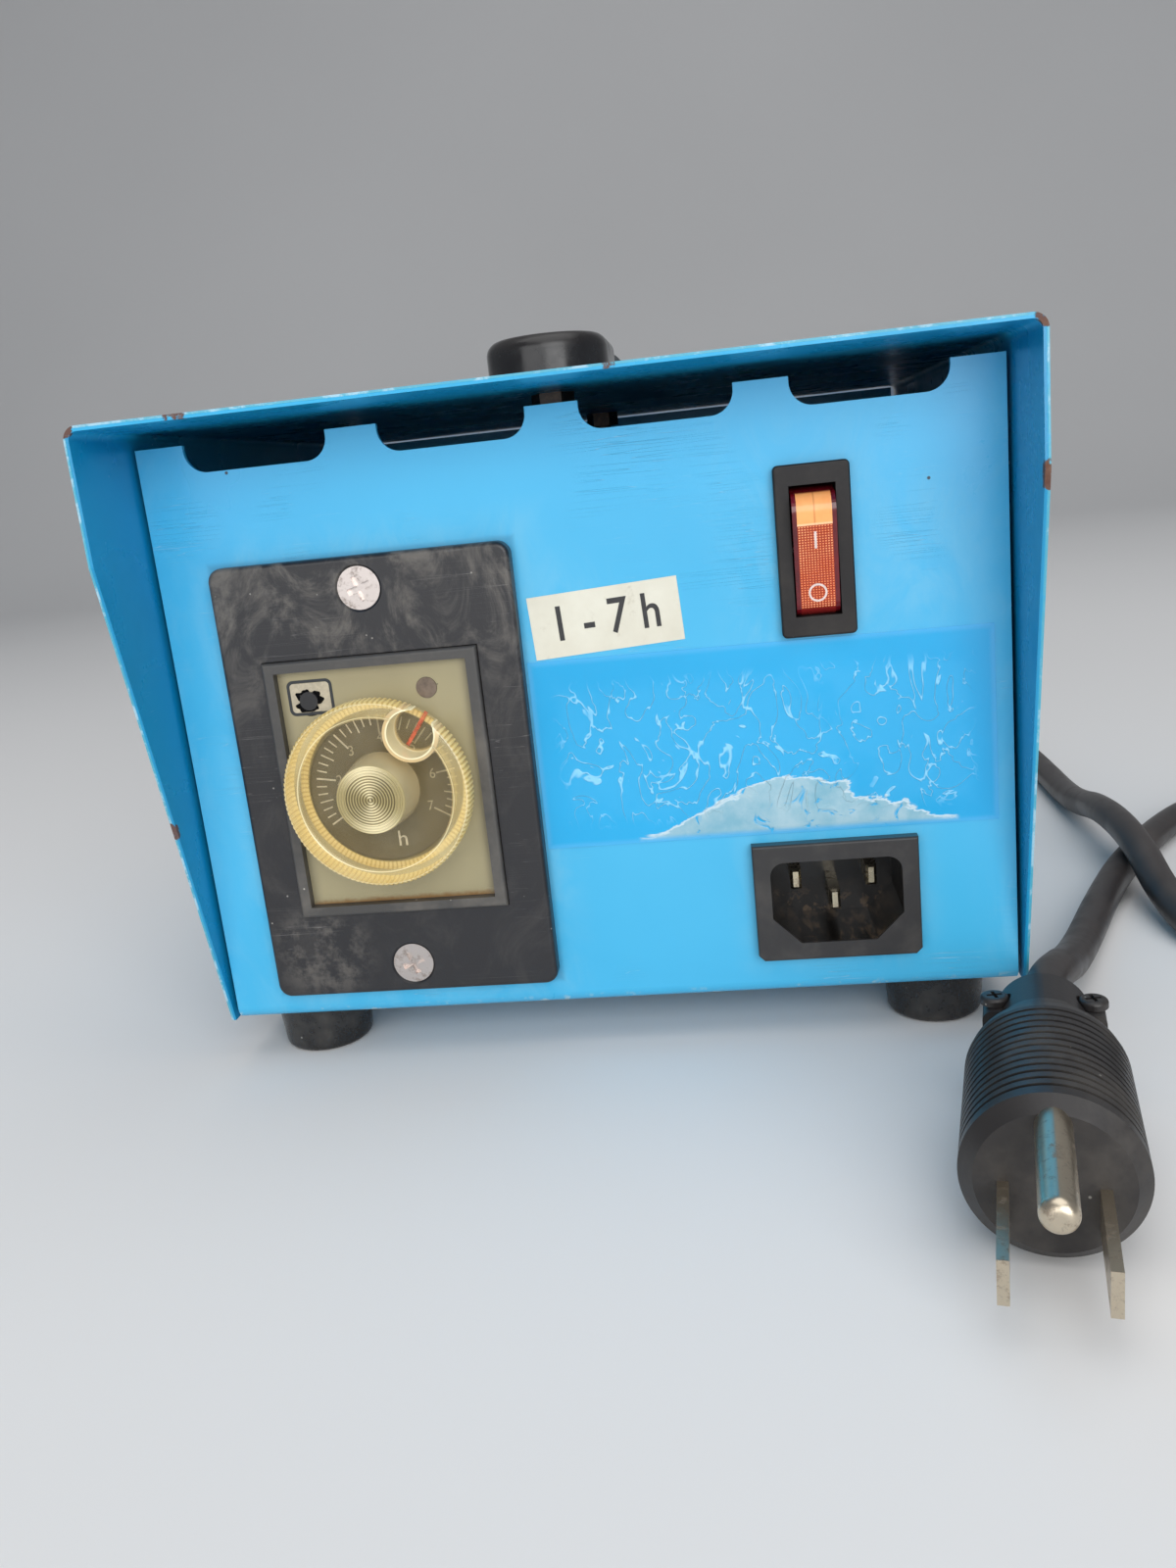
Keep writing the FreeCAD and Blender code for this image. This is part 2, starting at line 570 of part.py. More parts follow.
def octal_base():
    """The eight-pin base that closes the timer's back, with its keyed centre post."""
    base = rod_y(DIAL_X, TIMER_Z, 14.0, OCTAL_Y - 2, OCTAL_Y + 5)
    post = rod_y(DIAL_X, TIMER_Z, 3.9, OCTAL_Y + 4, OCTAL_Y + 18)
    key = block(DIAL_X - 0.9, DIAL_X + 0.9, OCTAL_Y + 4, OCTAL_Y + 18, TIMER_Z - 5.0, TIMER_Z)
    base = fused([base, post, key])
    return base.cut([rod_y(DIAL_X + x, TIMER_Z + z, 1.19, OCTAL_Y - 3, OCTAL_Y + 6) for x, z in OCTAL_PINS])


def octal_pins():
    return [rod_y(DIAL_X + x, TIMER_Z + z, 1.19, OCTAL_Y - 4, OCTAL_Y + 16) for x, z in OCTAL_PINS]


def octal_socket():
    """The back-wired socket that the timer plugs into."""
    socket = plate_block(DIAL_X, TIMER_Z, 36.0, 46.0, OCTAL_Y + 5.2, OCTAL_Y + 24)
    socket = socket.makeFillet(2.0, edges_along(socket, Y_AXIS))
    cuts = [rod_y(DIAL_X, TIMER_Z, 4.2, OCTAL_Y, OCTAL_Y + 20)]
    cuts.append(block(DIAL_X - 1.1, DIAL_X + 1.1, OCTAL_Y, OCTAL_Y + 20, TIMER_Z - 5.3, TIMER_Z))
    cuts += [rod_y(DIAL_X + x, TIMER_Z + z, 1.4, OCTAL_Y, OCTAL_Y + 20) for x, z in OCTAL_PINS]
    return socket.cut(cuts)


def timer_clamp():
    """The frame that slides along the case and presses on the back of the panel."""
    frame = plate_block(DIAL_X, TIMER_Z, TIMER_W + 5.6, TIMER_H + 5.6, Y_INSIDE, Y_INSIDE + 6)
    return frame.cut(plate_block(DIAL_X, TIMER_Z, TIMER_W + 0.1, TIMER_H + 0.1, Y_INSIDE - 1, Y_INSIDE + 7))


# ---- Rocker switch ----
def rocker_housing():
    w, h = ROCKER_BEZEL
    bezel = plate_block(ROCKER_X, ROCKER_Z, w, h, Y_PANEL - 2.0, Y_PANEL)
    bezel = bezel.makeFillet(0.9, edges_along(bezel, Y_AXIS))
    bezel = bezel.makeFillet(0.4, front_edges(bezel, Y_PANEL - 2.0))
    bw, bh, bd = ROCKER_BODY
    body = fused([bezel, plate_block(ROCKER_X, ROCKER_Z, bw, bh, Y_PANEL - 0.5, Y_PANEL + bd)])
    cavity = plate_block(ROCKER_X, ROCKER_Z, *ROCKER_HOLE, Y_PANEL - 3, Y_PANEL + bd - 4)
    pivot = rod_x(ROCKER_PIVOT_Y, ROCKER_Z, 1.25, ROCKER_X - 4.7, ROCKER_X + 4.7)
    tab_ys = (Y_PANEL + bd - 5, Y_PANEL + bd + 1)
    tabs = [plate_block(ROCKER_X, ROCKER_Z + dz, 6.3, 0.8, *tab_ys) for dz in ROCKER_TABS]
    return body.cut([cavity, pivot] + tabs)


def rocker_terminals():
    bd = ROCKER_BODY[2]
    return [
        plate_block(ROCKER_X, ROCKER_Z + dz, 6.3, 0.8, Y_PANEL + bd - 4, Y_PANEL + bd + 8)
        for dz in ROCKER_TABS
    ]


def rocker_profile(inset, low_v):
    """The paddle's side outline about its pivot, level, as a face in the YZ plane.

    A flat front with a round shoulder at each end; `inset` takes it in all round, and `low_v` is how far
    behind the front of the pivot it reaches.
    """
    flat, depth, end, end_v = 7.2, 7.4 - inset, 10.5 - inset, -3.6
    across = (end + flat) / 2 + 0.9

    def at(u, v):
        return V(0, ROCKER_PIVOT_Y + v, ROCKER_Z + u)
    up = Part.Arc(at(flat, -depth), at(across, (-depth + end_v) / 2 - 0.9), at(end, end_v)).toShape()
    down = Part.Arc(at(-end, end_v), at(-across, (-depth + end_v) / 2 - 0.9), at(-flat, -depth)).toShape()
    back = Part.makePolygon([at(end, end_v), at(end - 0.4, low_v), at(-end + 0.4, low_v), at(-end, end_v)])
    front = Part.makeLine(at(-flat, -depth), at(flat, -depth))
    return Part.Face(Part.Wire(Part.sortEdges([front, up, down, *back.Edges])[0]))


def rocker_solid(width, inset, low_v):
    face = rocker_profile(inset, low_v)
    face.translate(V(ROCKER_X - width / 2, 0, 0))
    return face.extrude(V(width, 0, 0))


def tilt_rocker(shape):
    """Turns the level paddle to its rest position: the upper end stands out, the lower end is pressed in."""
    shape.rotate(V(ROCKER_X, ROCKER_PIVOT_Y, ROCKER_Z), X_AXIS, ROCKER_TILT)
    return shape


def rocker_lens_level():
    lens = rocker_solid(5.9, 0, -3.7)
    return lens.cut(rocker_solid(7.0, 1.2, 5.0))


def rocker_paddle():
    paddle = rocker_solid(ROCKER_W, 0, 3.0).cut(rocker_lens_level())
    pins = rod_x(ROCKER_PIVOT_Y, ROCKER_Z, 1.2, ROCKER_X - 4.6, ROCKER_X + 4.6)
    half = ROCKER_W / 2
    barrel = rod_x(ROCKER_PIVOT_Y, ROCKER_Z, ROCKER_REACH, ROCKER_X - half, ROCKER_X + half)
    slab = plate_block(ROCKER_X, ROCKER_Z, 20, 30, ROCKER_PIVOT_Y - 3.4, ROCKER_PIVOT_Y + 3.0)
    paddle = fused([paddle, pins, barrel.common(slab)])
    return tilt_rocker(paddle)


def rocker_lens():
    return tilt_rocker(rocker_lens_level())


def rocker_lamp():
    y = ROCKER_PIVOT_Y + 8.5
    return rod_z(ROCKER_X, y, 1.6, ROCKER_Z - 5, ROCKER_Z + 5)


# ---- Appliance outlet ----
def outlet_hole(y0, y1):
    w, h = OUTLET_HOLE
    x0, x1 = OUTLET_X - w / 2, OUTLET_X + w / 2
    z0, z1 = OUTLET_Z - h / 2, OUTLET_Z + h / 2
    c = OUTLET_CORNER
    outline = [(x0, z0 + c), (x0 + c, z0), (x1 - c, z0), (x1, z0 + c), (x1, z1), (x0, z1)]
    points = [(x, y0, z) for x, z in outline]
    hole = prism(points, V(0, y1 - y0, 0))
    return hole.makeFillet(2.6, edges_along(hole, Y_AXIS, lambda p: near(p.z, z1)))


def outlet_body():
    fw, fh, ft = OUTLET_FLANGE
    flange = plate_block(OUTLET_X, OUTLET_Z, fw, fh, Y_PANEL - ft, Y_PANEL)
    flange = flange.makeChamfer(1.1, edges_along(flange, Y_AXIS, lambda p: near(p.z, OUTLET_Z - fh / 2)))
    flange = flange.makeFillet(0.45, front_edges(flange, Y_PANEL - ft))
    bw, bh, bd = OUTLET_BODY
    body = fused([flange, plate_block(OUTLET_X, OUTLET_Z, bw, bh, Y_PANEL - 0.5, Y_PANEL + bd)])
    pins = [pin_block(x, z, Y_PANEL, Y_PANEL + bd + 1) for x, z in outlet_pin_places()]
    return body.cut([outlet_hole(Y_PANEL - ft - 1, Y_PANEL + OUTLET_DEEP)] + pins)


def outlet_pin_places():
    upper = OUTLET_Z + 2.0
    return [(OUTLET_X - PIN_PITCH / 2, upper), (OUTLET_X, upper - 4.0), (OUTLET_X + PIN_PITCH / 2, upper)]


def pin_block(x, z, y0, y1):
    return plate_block(x, z, 2.0, 4.0, y0, y1)


def outlet_pins():
    made = []
    for k, (x, z) in enumerate(outlet_pin_places()):
        tip = Y_PANEL + (3.6 if k == 1 else 5.0)
        pin = pin_block(x, z, tip, Y_PANEL + OUTLET_BODY[2] + 8)
        made.append(pin.makeChamfer(0.5, front_edges(pin, tip)))
    return made


# ---- Labels ----
def range_label():
    label = plate_block(0, 0, *LABEL, Y_PANEL - FILM_T, Y_PANEL)
    label.rotate(V(0, 0, 0), Y_AXIS, -LABEL_TURN)
    label.translate(V(LABEL_AT[0], 0, LABEL_AT[1]))
    return label


def panel_film():
    return plate_block(*FILM_AT, *FILM, Y_PANEL - FILM_T, Y_PANEL)


# ---- Power stage ----
def core_box():
    """(x0, x1, y0, y1, z0, z1) of the transformer's laminations."""
    x, y = CORE_AT
    z0 = Z_FLOOR + CORE_FOOT_LIFT
    return x - CORE_STACK / 2, x + CORE_STACK / 2, y - CORE_Y / 2, y + CORE_Y / 2, z0, z0 + CORE_H


def core_feet():
    x0, x1, y0, y1, _, _ = core_box()
    return [(x, y) for x in (x0 - 6, x1 + 6) for y in (y0 + 12, y1 - 12)]


def core_windows():
    """The two windows that the winding passes through, each side of the middle limb."""
    x0, x1, y0, y1, z0, z1 = core_box()
    limb = CORE_Y / 6
    return [
        block(x0 - 1, x1 + 1, y0 + limb, y0 + 2 * limb, z0 + limb, z1 - limb),
        block(x0 - 1, x1 + 1, y1 - 2 * limb, y1 - limb, z0 + limb, z1 - limb),
    ]


def transformer_core():
    core = block(*core_box())
    bolts = [rod_x(y, z, 2.1, core_box()[0] - 1, core_box()[1] + 1) for y, z in core_bolt_places()]
    return core.cut(core_windows() + bolts)


def core_bolt_places():
    _, _, y0, y1, z0, z1 = core_box()
    return [(y, z) for y in (y0 + 5, y1 - 5) for z in (z0 + 5, z1 - 5)]


def winding_box(grow_y, grow_x, trim_z):
    x0, x1, y0, y1, z0, z1 = core_box()
    limb = CORE_Y / 6
    y0, y1 = y0 + 2 * limb - grow_y, y1 - 2 * limb + grow_y
    return block(x0 - grow_x, x1 + grow_x, y0, y1, z0 + limb + trim_z, z1 - limb - trim_z)


def transformer_bobbin():
    """The moulded former: a tube round the middle limb with a flange at each end."""
    limb = CORE_Y / 6
    tube = winding_box(1.5, 1.5, 0.3)
    x0, x1, y0, y1, z0, z1 = core_box()
    ends = [
        block(x0 - COIL_BULGE - 1, x1 + COIL_BULGE + 1, y0 + limb + 0.3, y1 - limb - 0.3, z, z + 1.5)
        for z in (z0 + limb + 0.3, z1 - limb - 1.8)
    ]
    slot = block(x0 - 0.2, x1 + 0.2, y0 + 2 * limb - 0.2, y1 - 2 * limb + 0.2, z0, z1)
    return fused([tube] + ends).cut(slot)


def transformer_winding():
    limb = CORE_Y / 6
    outer = winding_box(limb - 1.2, COIL_BULGE, 2.0)
    outer = outer.makeFillet(5.0, edges_along(outer, Z_AXIS))
    return outer.cut(winding_box(1.6, 1.6, -2))


def transformer_frame():
    """Two angle brackets, one each side of the laminations, that stand on the floor sheet."""
    x0, x1, y0, y1, z0, z1 = core_box()
    made = []
    for s, x in ((-1, x0), (1, x1)):
        xs = sorted((x, x + s * 1.5))
        lugs = [block(*xs, *ys, z0, z1) for ys in ((y0, y0 + 11), (y1 - 11, y1))]
        sill = block(*xs, y0, y1, Z_FLOOR, z0 + 10)
        foot = block(*sorted((x, x + s * 12)), y0, y1, Z_FLOOR, Z_FLOOR + 1.5)
        bracket = fused([*lugs, sill, foot])
        holes = [rod_x(y, z, 2.1, x - 3, x + 3) for y, z in core_bolt_places()]
        holes += [rod_z(fx, fy, 2.2, Z_FLOOR - 1, Z_FLOOR + 3) for fx, fy in core_feet()]
        made.append(bracket.cut(holes))
    return made


def core_bolts():
    """Through bolts that clamp the laminations between the brackets, head one side and nut the other."""
    x0, x1 = core_box()[0] - 1.5, core_box()[1] + 1.5
    made = []
    for y, z in core_bolt_places():
        bolt = rod_x(y, z, 2.0, x0 - 4.5, x1 + 0.2)
        head = hex_nut(V(x1, y, z), X_AXIS, 7.0, 0.4, 2.8)
        nut = hex_nut(V(x0, y, z), V(-1, 0, 0), 7.0, 1.9, 3.0)
        made.append(fused([bolt, head, nut]))
    return made


def core_foot_screws():
    return [
        fused([pan_screw(V(x, y, Z_FLOOR + 1.5), Z_AXIS, 2.0, 6.0, 3.8, 2.2),
               hex_nut(V(x, y, Z_BASE), V(0, 0, -1), 7.0, 1.9, 3.0)])
        for x, y in core_feet()
    ]


def floor_screws():
    """Where small parts are screwed to the floor sheet."""
    sx, sy = STRIP_AT
    cx, cy = CAN_AT
    return [RECT_AT, (sx - 20, sy), (sx + 20, sy), FUSE_AT, (cx, cy - CAN_R - 5), GROUND_AT]


def bridge_rectifier():
    x, y = RECT_AT
    body = block(x - 10, x + 10, y - 13, y + 13, Z_FLOOR, Z_FLOOR + 9)
    body = body.makeChamfer(4.0, edges_along(body, Z_AXIS, lambda p: p.x > x and p.y > y))
    tabs = [
        block(x + dx - 0.4, x + dx + 0.4, y + dy - 3.1, y + dy + 3.1, Z_FLOOR + 8, Z_FLOOR + 20)
        for dx in (-6.5, 6.5) for dy in (-8.5, 8.5)
    ]
    return fused([body] + tabs).cut(rod_z(x, y, 2.2, Z_FLOOR - 1, Z_FLOOR + 10))


def capacitor():
    x, y = CAN_AT
    can = rod_z(x, y, CAN_R, Z_FLOOR + 0.2, Z_FLOOR + CAN_L)
    can = can.makeFillet(1.6, [e for e in can.Edges if isinstance(e.Curve, Part.Circle)])
    posts = [rod_z(x, y + dy, 2.4, Z_FLOOR + CAN_L - 1, Z_FLOOR + CAN_L + 6) for dy in (-5, 5)]
    return fused([can] + posts)


def capacitor_clip():
    """The spring band round the can, with its foot on the floor sheet."""
    x, y = CAN_AT
    band = rod_z(x, y, CAN_R + 1.1, Z_FLOOR, Z_FLOOR + 12)
    band = band.cut(rod_z(x, y, CAN_R + 0.1, Z_FLOOR - 1, Z_FLOOR + 13))
    foot = block(x - 6, x + 6, y - CAN_R - 10, y - CAN_R - 0.5, Z_FLOOR, Z_FLOOR + 1.2)
    foot = foot.cut(rod_z(x, y, CAN_R + 0.6, Z_FLOOR - 1, Z_FLOOR + 3))
    return fused([band, foot]).cut(rod_z(x, y - CAN_R - 5, 1.9, Z_FLOOR - 1, Z_FLOOR + 3))


def terminal_strip():
    x, y = STRIP_AT
    base = block(x - 25, x + 25, y - 7, y + 7, Z_FLOOR, Z_FLOOR + 6)
    walls = [
        block(x + dx - 0.8, x + dx + 0.8, y - 7, y + 7, Z_FLOOR + 5, Z_FLOOR + 13)
        for dx in (-16, -8, 0, 8, 16)
    ]
    strip = fused([base] + walls)
    return strip.cut([rod_z(x + dx, y, 1.9, Z_FLOOR - 1, Z_FLOOR + 7) for dx in (-20, 20)])


def strip_screws():
    x, y = STRIP_AT
    return [
        pan_screw(V(x + dx, y + dy, Z_FLOOR + 6), Z_AXIS, 1.2, 0.0, 2.4, 1.6)
        for dx in (-12, -4, 4, 12) for dy in (-3.6, 3.6)
    ]


def fuse_block():
    x, y = FUSE_AT
    base = block(x - 6, x + 6, y - 13, y + 13, Z_FLOOR, Z_FLOOR + 5)
    return base.cut(rod_z(x, y, 1.9, Z_FLOOR - 1, Z_FLOOR + 6))


def fuse_clips():
    x, y = FUSE_AT
    made = []
    for dy in (-10, 10):
        base = block(x - 3.9, x + 3.9, y + dy - 2.2, y + dy + 2.2, Z_FLOOR + 5, Z_FLOOR + 5.6)
        sides = [
            block(*sorted((x + s * 3.3, x + s * 3.9)), y + dy - 2.2, y + dy + 2.2, Z_FLOOR + 5, Z_FLOOR + 12.5)
            for s in (-1, 1)
        ]
        made.append(fused([base] + sides))
    return made


def glass_fuse():
    x, y = FUSE_AT
    return Part.makeCylinder(3.2, 24, V(x, y - 12, Z_FLOOR + 9.9), Y_AXIS)


def small_screws():
    """The screws that hold the small parts to the floor sheet."""
    rx, ry = RECT_AT
    sx, sy = STRIP_AT
    fx, fy = FUSE_AT
    cx, cy = CAN_AT
    tall, flat = 1.7, 0.9
    heads = [
        (rx, ry, 9, tall), (sx - 20, sy, 6, tall), (sx + 20, sy, 6, tall), (fx, fy, 5, flat),
        (cx, cy - CAN_R - 5, 1.2, tall),
    ]
    return [
        pan_screw(V(x, y, Z_FLOOR + h), Z_AXIS, 1.65, h + 2.5, 3.2, head_h)
        for x, y, h, head_h in heads
    ]


def ground_stud():
    """The earth screw with its ring tag and nut."""
    x, y = GROUND_AT
    screw = pan_screw(V(x, y, Z_FLOOR + 1.0), Z_AXIS, 1.65, 4.5, 3.4, 1.8)
    ring = rod_z(x, y, 4.0, Z_FLOOR, Z_FLOOR + 1.0)
    tail = block(x - 2.5, x + 2.5, y, y + 12, Z_FLOOR, Z_FLOOR + 1.0)
    return fused([screw, ring, tail])


# ---- Wires inside the case ----
def tube_path(points, radius_share=0.45, show=None):
    """Straight runs through the points, joined by tangent arcs as large as the shorter run allows."""
    pts = [V(*p) for p in points]
    edges, start = [], pts[0]
    for a, b, c in zip(pts, pts[1:], pts[2:]):
        u, w = (b - a), (c - b)
        run = min(u.Length, w.Length)
        u.normalize()
        w.normalize()
        turn = u.getAngle(w)
        if turn < 1e-3:
            continue
        back = radius_share * run
        radius = back / math.tan(turn / 2)
        if show is not None:
            show.append((round(radius, 1), round(math.degrees(turn)), round(run)))
        into, away = b - u * back, b + w * back
        bisector = (w - u)
        bisector.normalize()
        middle = b + bisector * (radius / math.cos(turn / 2) - radius)
        if (into - start).Length > 1e-6:
            edges.append(Part.LineSegment(start, into).toShape())
        edges.append(Part.Arc(into, middle, away).toShape())
        start = away
    edges.append(Part.LineSegment(start, pts[-1]).toShape())
    return Part.Wire(edges)


def tube(points, radius, show=None):
    """A round tube along the points, with its volume compared with its section times its length."""
    wire = tube_path(points, show=show)
    direction = V(*points[1]) - V(*points[0])
    ring = Part.Wire([Part.Circle(V(*points[0]), direction, radius).toShape()])
    solid = wire.makePipeShell([ring], True, False)
    expected = math.pi * radius**2 * wire.Length
    if abs(solid.Volume - expected) > 0.01 * expected:
        raise ValueError(f"tube volume {solid.Volume:.1f}, expected {expected:.1f}")
    return solid


def mains_wires():
    """The lead's conductors inside the case, up to the terminal strip, as one sleeved bundle."""
    x, y = STRIP_AT
    route = [
        (EXIT.x, Y_REAR - 5, 26), (EXIT.x, Y_REAR - 10, 26), (33, 64, 26.5), (22, 63, 27.5), (6, 63, 28.5),
        (-9, 61, 29), (-19, 56, 27), (x + 21, y, Z_FLOOR + 12),
    ]
    return tube(route, 2.2)


def timer_wires():
    """The sleeved bundle from the timer's socket down to the terminal strip."""
    x, y = STRIP_AT
    top = OCTAL_Y + 24
    route = [
        (DIAL_X + 12, top, TIMER_Z), (DIAL_X + 12, top + 7, TIMER_Z), (DIAL_X + 11, top + 15, TIMER_Z - 7),
        (DIAL_X + 8, y - 20, Z_FLOOR + 30), (DIAL_X + 4, y - 6, Z_FLOOR + 22),
        (DIAL_X + 2, y, Z_FLOOR + 15.2),
    ]
    return tube(route, 2.0)


def panel_wires():
    """Leads behind the panel, from the rocker switch down to the outlet, each a plain insulated wire."""
    rocker_y = Y_PANEL + ROCKER_BODY[2] + 8
    outlet_y = Y_PANEL + OUTLET_BODY[2] + 8
    made = []
    for k, (x, z) in enumerate((outlet_pin_places()[0], outlet_pin_places()[2])):
        side = -2.0 if k == 0 else 2.0
        z_top = ROCKER_Z + ROCKER_TABS[2 * k]
        bow = 3 + 2 * k
        route = [
            (ROCKER_X + side, rocker_y, z_top), (ROCKER_X + side, rocker_y + 4, z_top),
            (ROCKER_X + side * 1.6, rocker_y + bow + 3, z_top - 6),
            ((x + ROCKER_X) / 2, rocker_y + bow + 2, (z + z_top) / 2),
            (x, outlet_y + 9, z + 10), (x, outlet_y + 5, z), (x, outlet_y, z),
        ]
        made.append(tube(route, 1.3))
    return made


# ---- Mains lead ----
def strain_relief():
    """The moulded bush in the rear panel with its tapered, flexible tail."""
    flange = rod_y(EXIT.x, EXIT.z, 10.5, Y_REAR, Y_REAR + 2.5)
    neck = rod_y(EXIT.x, EXIT.z, 7.8, Y_REAR - 5, Y_REAR)
    tail = Part.makeCone(7.0, 4.9, RELIEF_L - 2.5, V(EXIT.x, Y_REAR + 2.5, EXIT.z), Y_AXIS)
    return fused([flange, neck, tail])


def coil_solid():
    """The outer shape of the coiled length: a plain ring lying on the surface."""
    ring = rod_z(COIL_AT.x, COIL_AT.y, COIL_R + COIL_OUT, 0, 2 * COIL_OUT)
    return ring.cut(rod_z(COIL_AT.x, COIL_AT.y, COIL_R - COIL_OUT, -1, 2 * COIL_OUT + 1))


def lead_tubes():
    """The two lengths of cord that aren't coiled, trimmed where they meet the coil."""
    ring = coil_solid()
    made = []
    for name, route in (("lead out", LEAD_OUT), ("lead in", LEAD_IN)):
        radii = []
        solid = tube(route, CORD_D / 2, radii)
        print(name, "radius, turn, run:", radii)
        made.append(max(solid.cut(ring).Solids, key=lambda s: s.Volume))
    return made


def to_plug(shape):
    """Moves a shape built along +X from the origin to the plug's place on the surface."""
    angle = -90.0 - PLUG_TURN
    shape.rotate(V(0, 0, 0), Z_AXIS, angle)
    shape.translate(PLUG_AT)
    return shape


def plug_body():
    """The ribbed plug body with its face, as a turned shape about its own axis."""
    x0, x1 = PLUG_NECK_L, PLUG_NECK_L + PLUG_BODY_L
    outline = [
        (x0, 0), (x0, 8.6), (x0 + 4, 9.2), (x0 + 8, PLUG_R - 0.6), (x0 + 10, PLUG_R - 0.2), (x1 - 2, PLUG_R),
        (x1, PLUG_R - 2), (x1, 0),
    ]
    face = Part.Face(Part.makePolygon([V(x, 0, r) for x, r in outline + outline[:1]]))
    body = face.revolve(V(0, 0, 0), X_AXIS, 360)
    grooves = []
    for k in range(RIB_COUNT):
        at = V(x0 + 11 + RIB_PITCH * k, 0, 0)
        outside = Part.makeCylinder(PLUG_R + 1, RIB_GROOVE, at, X_AXIS)
        grooves.append(outside.cut(Part.makeCylinder(PLUG_R - 0.45, RIB_GROOVE, at, X_AXIS)))
    body = body.cut(grooves)
    cuts = [blade_shape(s, 3.0) for s in (-1, 1)] + [earth_shape(3.0)]
    return to_plug(body.cut(cuts))


def blade_shape(s, sunk):
    """One flat blade, 6.3 by 1.5 mm, starting `sunk` inside the plug's face."""
    x1 = PLUG_NECK_L + PLUG_BODY_L
    return block(x1 - sunk, x1 + BLADE_L, s * 6.35 - 0.75, s * 6.35 + 0.75, -6.4, -0.1)


def earth_shape(sunk):
    x1 = PLUG_NECK_L + PLUG_BODY_L
    pin = Part.makeCylinder(2.38, EARTH_L + sunk, V(x1 - sunk, 0, 8.5), X_AXIS)
    tip = [e for e in pin.Edges if near(e.BoundBox.XMin, x1 + EARTH_L)]
    return pin.makeFillet(1.6, tip)


def plug_blades():
    return [to_plug(blade_shape(s, 3.0)) for s in (-1, 1)]


def plug_clamp():
    """The neck and its cord clamp: a saddle with two ears over the cord."""
    neck = Part.makeCylinder(7.6, PLUG_NECK_L, V(0, 0, 0), X_AXIS)
    saddle = block(1.5, 8.5, -9.5, 9.5, -4.2, 4.2)
    saddle = saddle.makeFillet(1.6, edges_along(saddle, X_AXIS))
    clamp = fused([neck, saddle])
    holes = [Part.makeCylinder(1.3, 30, V(5, s * 7.6, -15), Z_AXIS) for s in (-1, 1)]
    holes += [Part.makeCylinder(2.6, 8, V(5, s * 7.6, 4.2), Z_AXIS) for s in (-1, 1)]
    return to_plug(clamp.cut(holes))


def plug_screws():
    made = []
    for s in (-1, 1):
        made.append(to_plug(pan_screw(V(5, s * 7.6, 4.3), Z_AXIS, 1.25, 8.4, 2.3, 1.4)))
    return made


def main():
    os.makedirs("parts", exist_ok=True)
    save("chassis", chassis())
    save("top_cover", top_cover())
    save("cover_screws", *cover_screws())
    save("rubber_feet", *feet())
    save("foot_screws", *foot_screws())
    save("foot_washers", *foot_washers())
    save("foot_nuts", *foot_nuts())

    save("handle_cap_front", handle_cap(-1))
    save("handle_cap_rear", handle_cap(1))
    save("strap_front_run", strap_run(-STRAP_END, -GRIP_HALF))
    save("strap_grip", strap_run(-GRIP_HALF, GRIP_HALF))
    save("strap_rear_run", strap_run(GRIP_HALF, STRAP_END))
    save("handle_screws", *handle_screws())
    save("handle_nuts", *handle_nuts())

    save("timer_plate", timer_plate())
    save("plate_screws", *plate_screws())
    save("plate_nuts", *plate_nuts())
    save("timer_case", timer_case())
    save("timer_face", timer_face())
    save("dial_scale", dial_scale())
    save("dial_knob", dial_knob())
    save("dial_pointer", dial_pointer())
    save("dial_shaft", dial_shaft())
    save("dial_potentiometer", dial_potentiometer())
    save("timer_board", timer_board())
    save("timer_relay", timer_relay())
    save("timer_smoothing_can", timer_smoothing_can())
    save("reset_button", reset_button())
    save("reset_switch", reset_switch())
    save("run_lamp", run_lamp())
    save("octal_base", octal_base())
    save("octal_pins", *octal_pins())
    save("octal_socket", octal_socket())
    save("timer_clamp", timer_clamp())

    save("rocker_housing", rocker_housing())
    save("rocker_terminals", *rocker_terminals())
    save("rocker_paddle", rocker_paddle())
    save("rocker_lens", rocker_lens())
    save("rocker_lamp", rocker_lamp())

    save("outlet_body", outlet_body())
    save("outlet_pins", *outlet_pins())
    save("range_label", range_label())
    save("panel_film", panel_film())

    save("transformer_core", transformer_core())
    save("transformer_bobbin", transformer_bobbin())
    save("transformer_winding", transformer_winding())
    save("transformer_frame", *transformer_frame(), *core_bolts(), *core_foot_screws())
    save("bridge_rectifier", bridge_rectifier())
    save("capacitor", capacitor(), capacitor_clip())
    save("terminal_strip", terminal_strip(), *strip_screws())
    save("fuse_block", fuse_block(), *fuse_clips())
    save("glass_fuse", glass_fuse())
    save("small_screws", *small_screws(), ground_stud())
    save("inner_wires", mains_wires(), timer_wires(), *panel_wires())

    save("strain_relief", strain_relief())
    lead_out, lead_in = lead_tubes()
    save("lead_out", lead_out)
    save("lead_in", lead_in)
    save("lead_coil", coil_solid())
    save("mains_plug", plug_body(), plug_clamp(), *plug_screws())
    save("plug_pins", *plug_blades(), to_plug(earth_shape(3.0)))


main()
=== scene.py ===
import json
import math

import bmesh
import bpy
from mathutils import Matrix, Vector


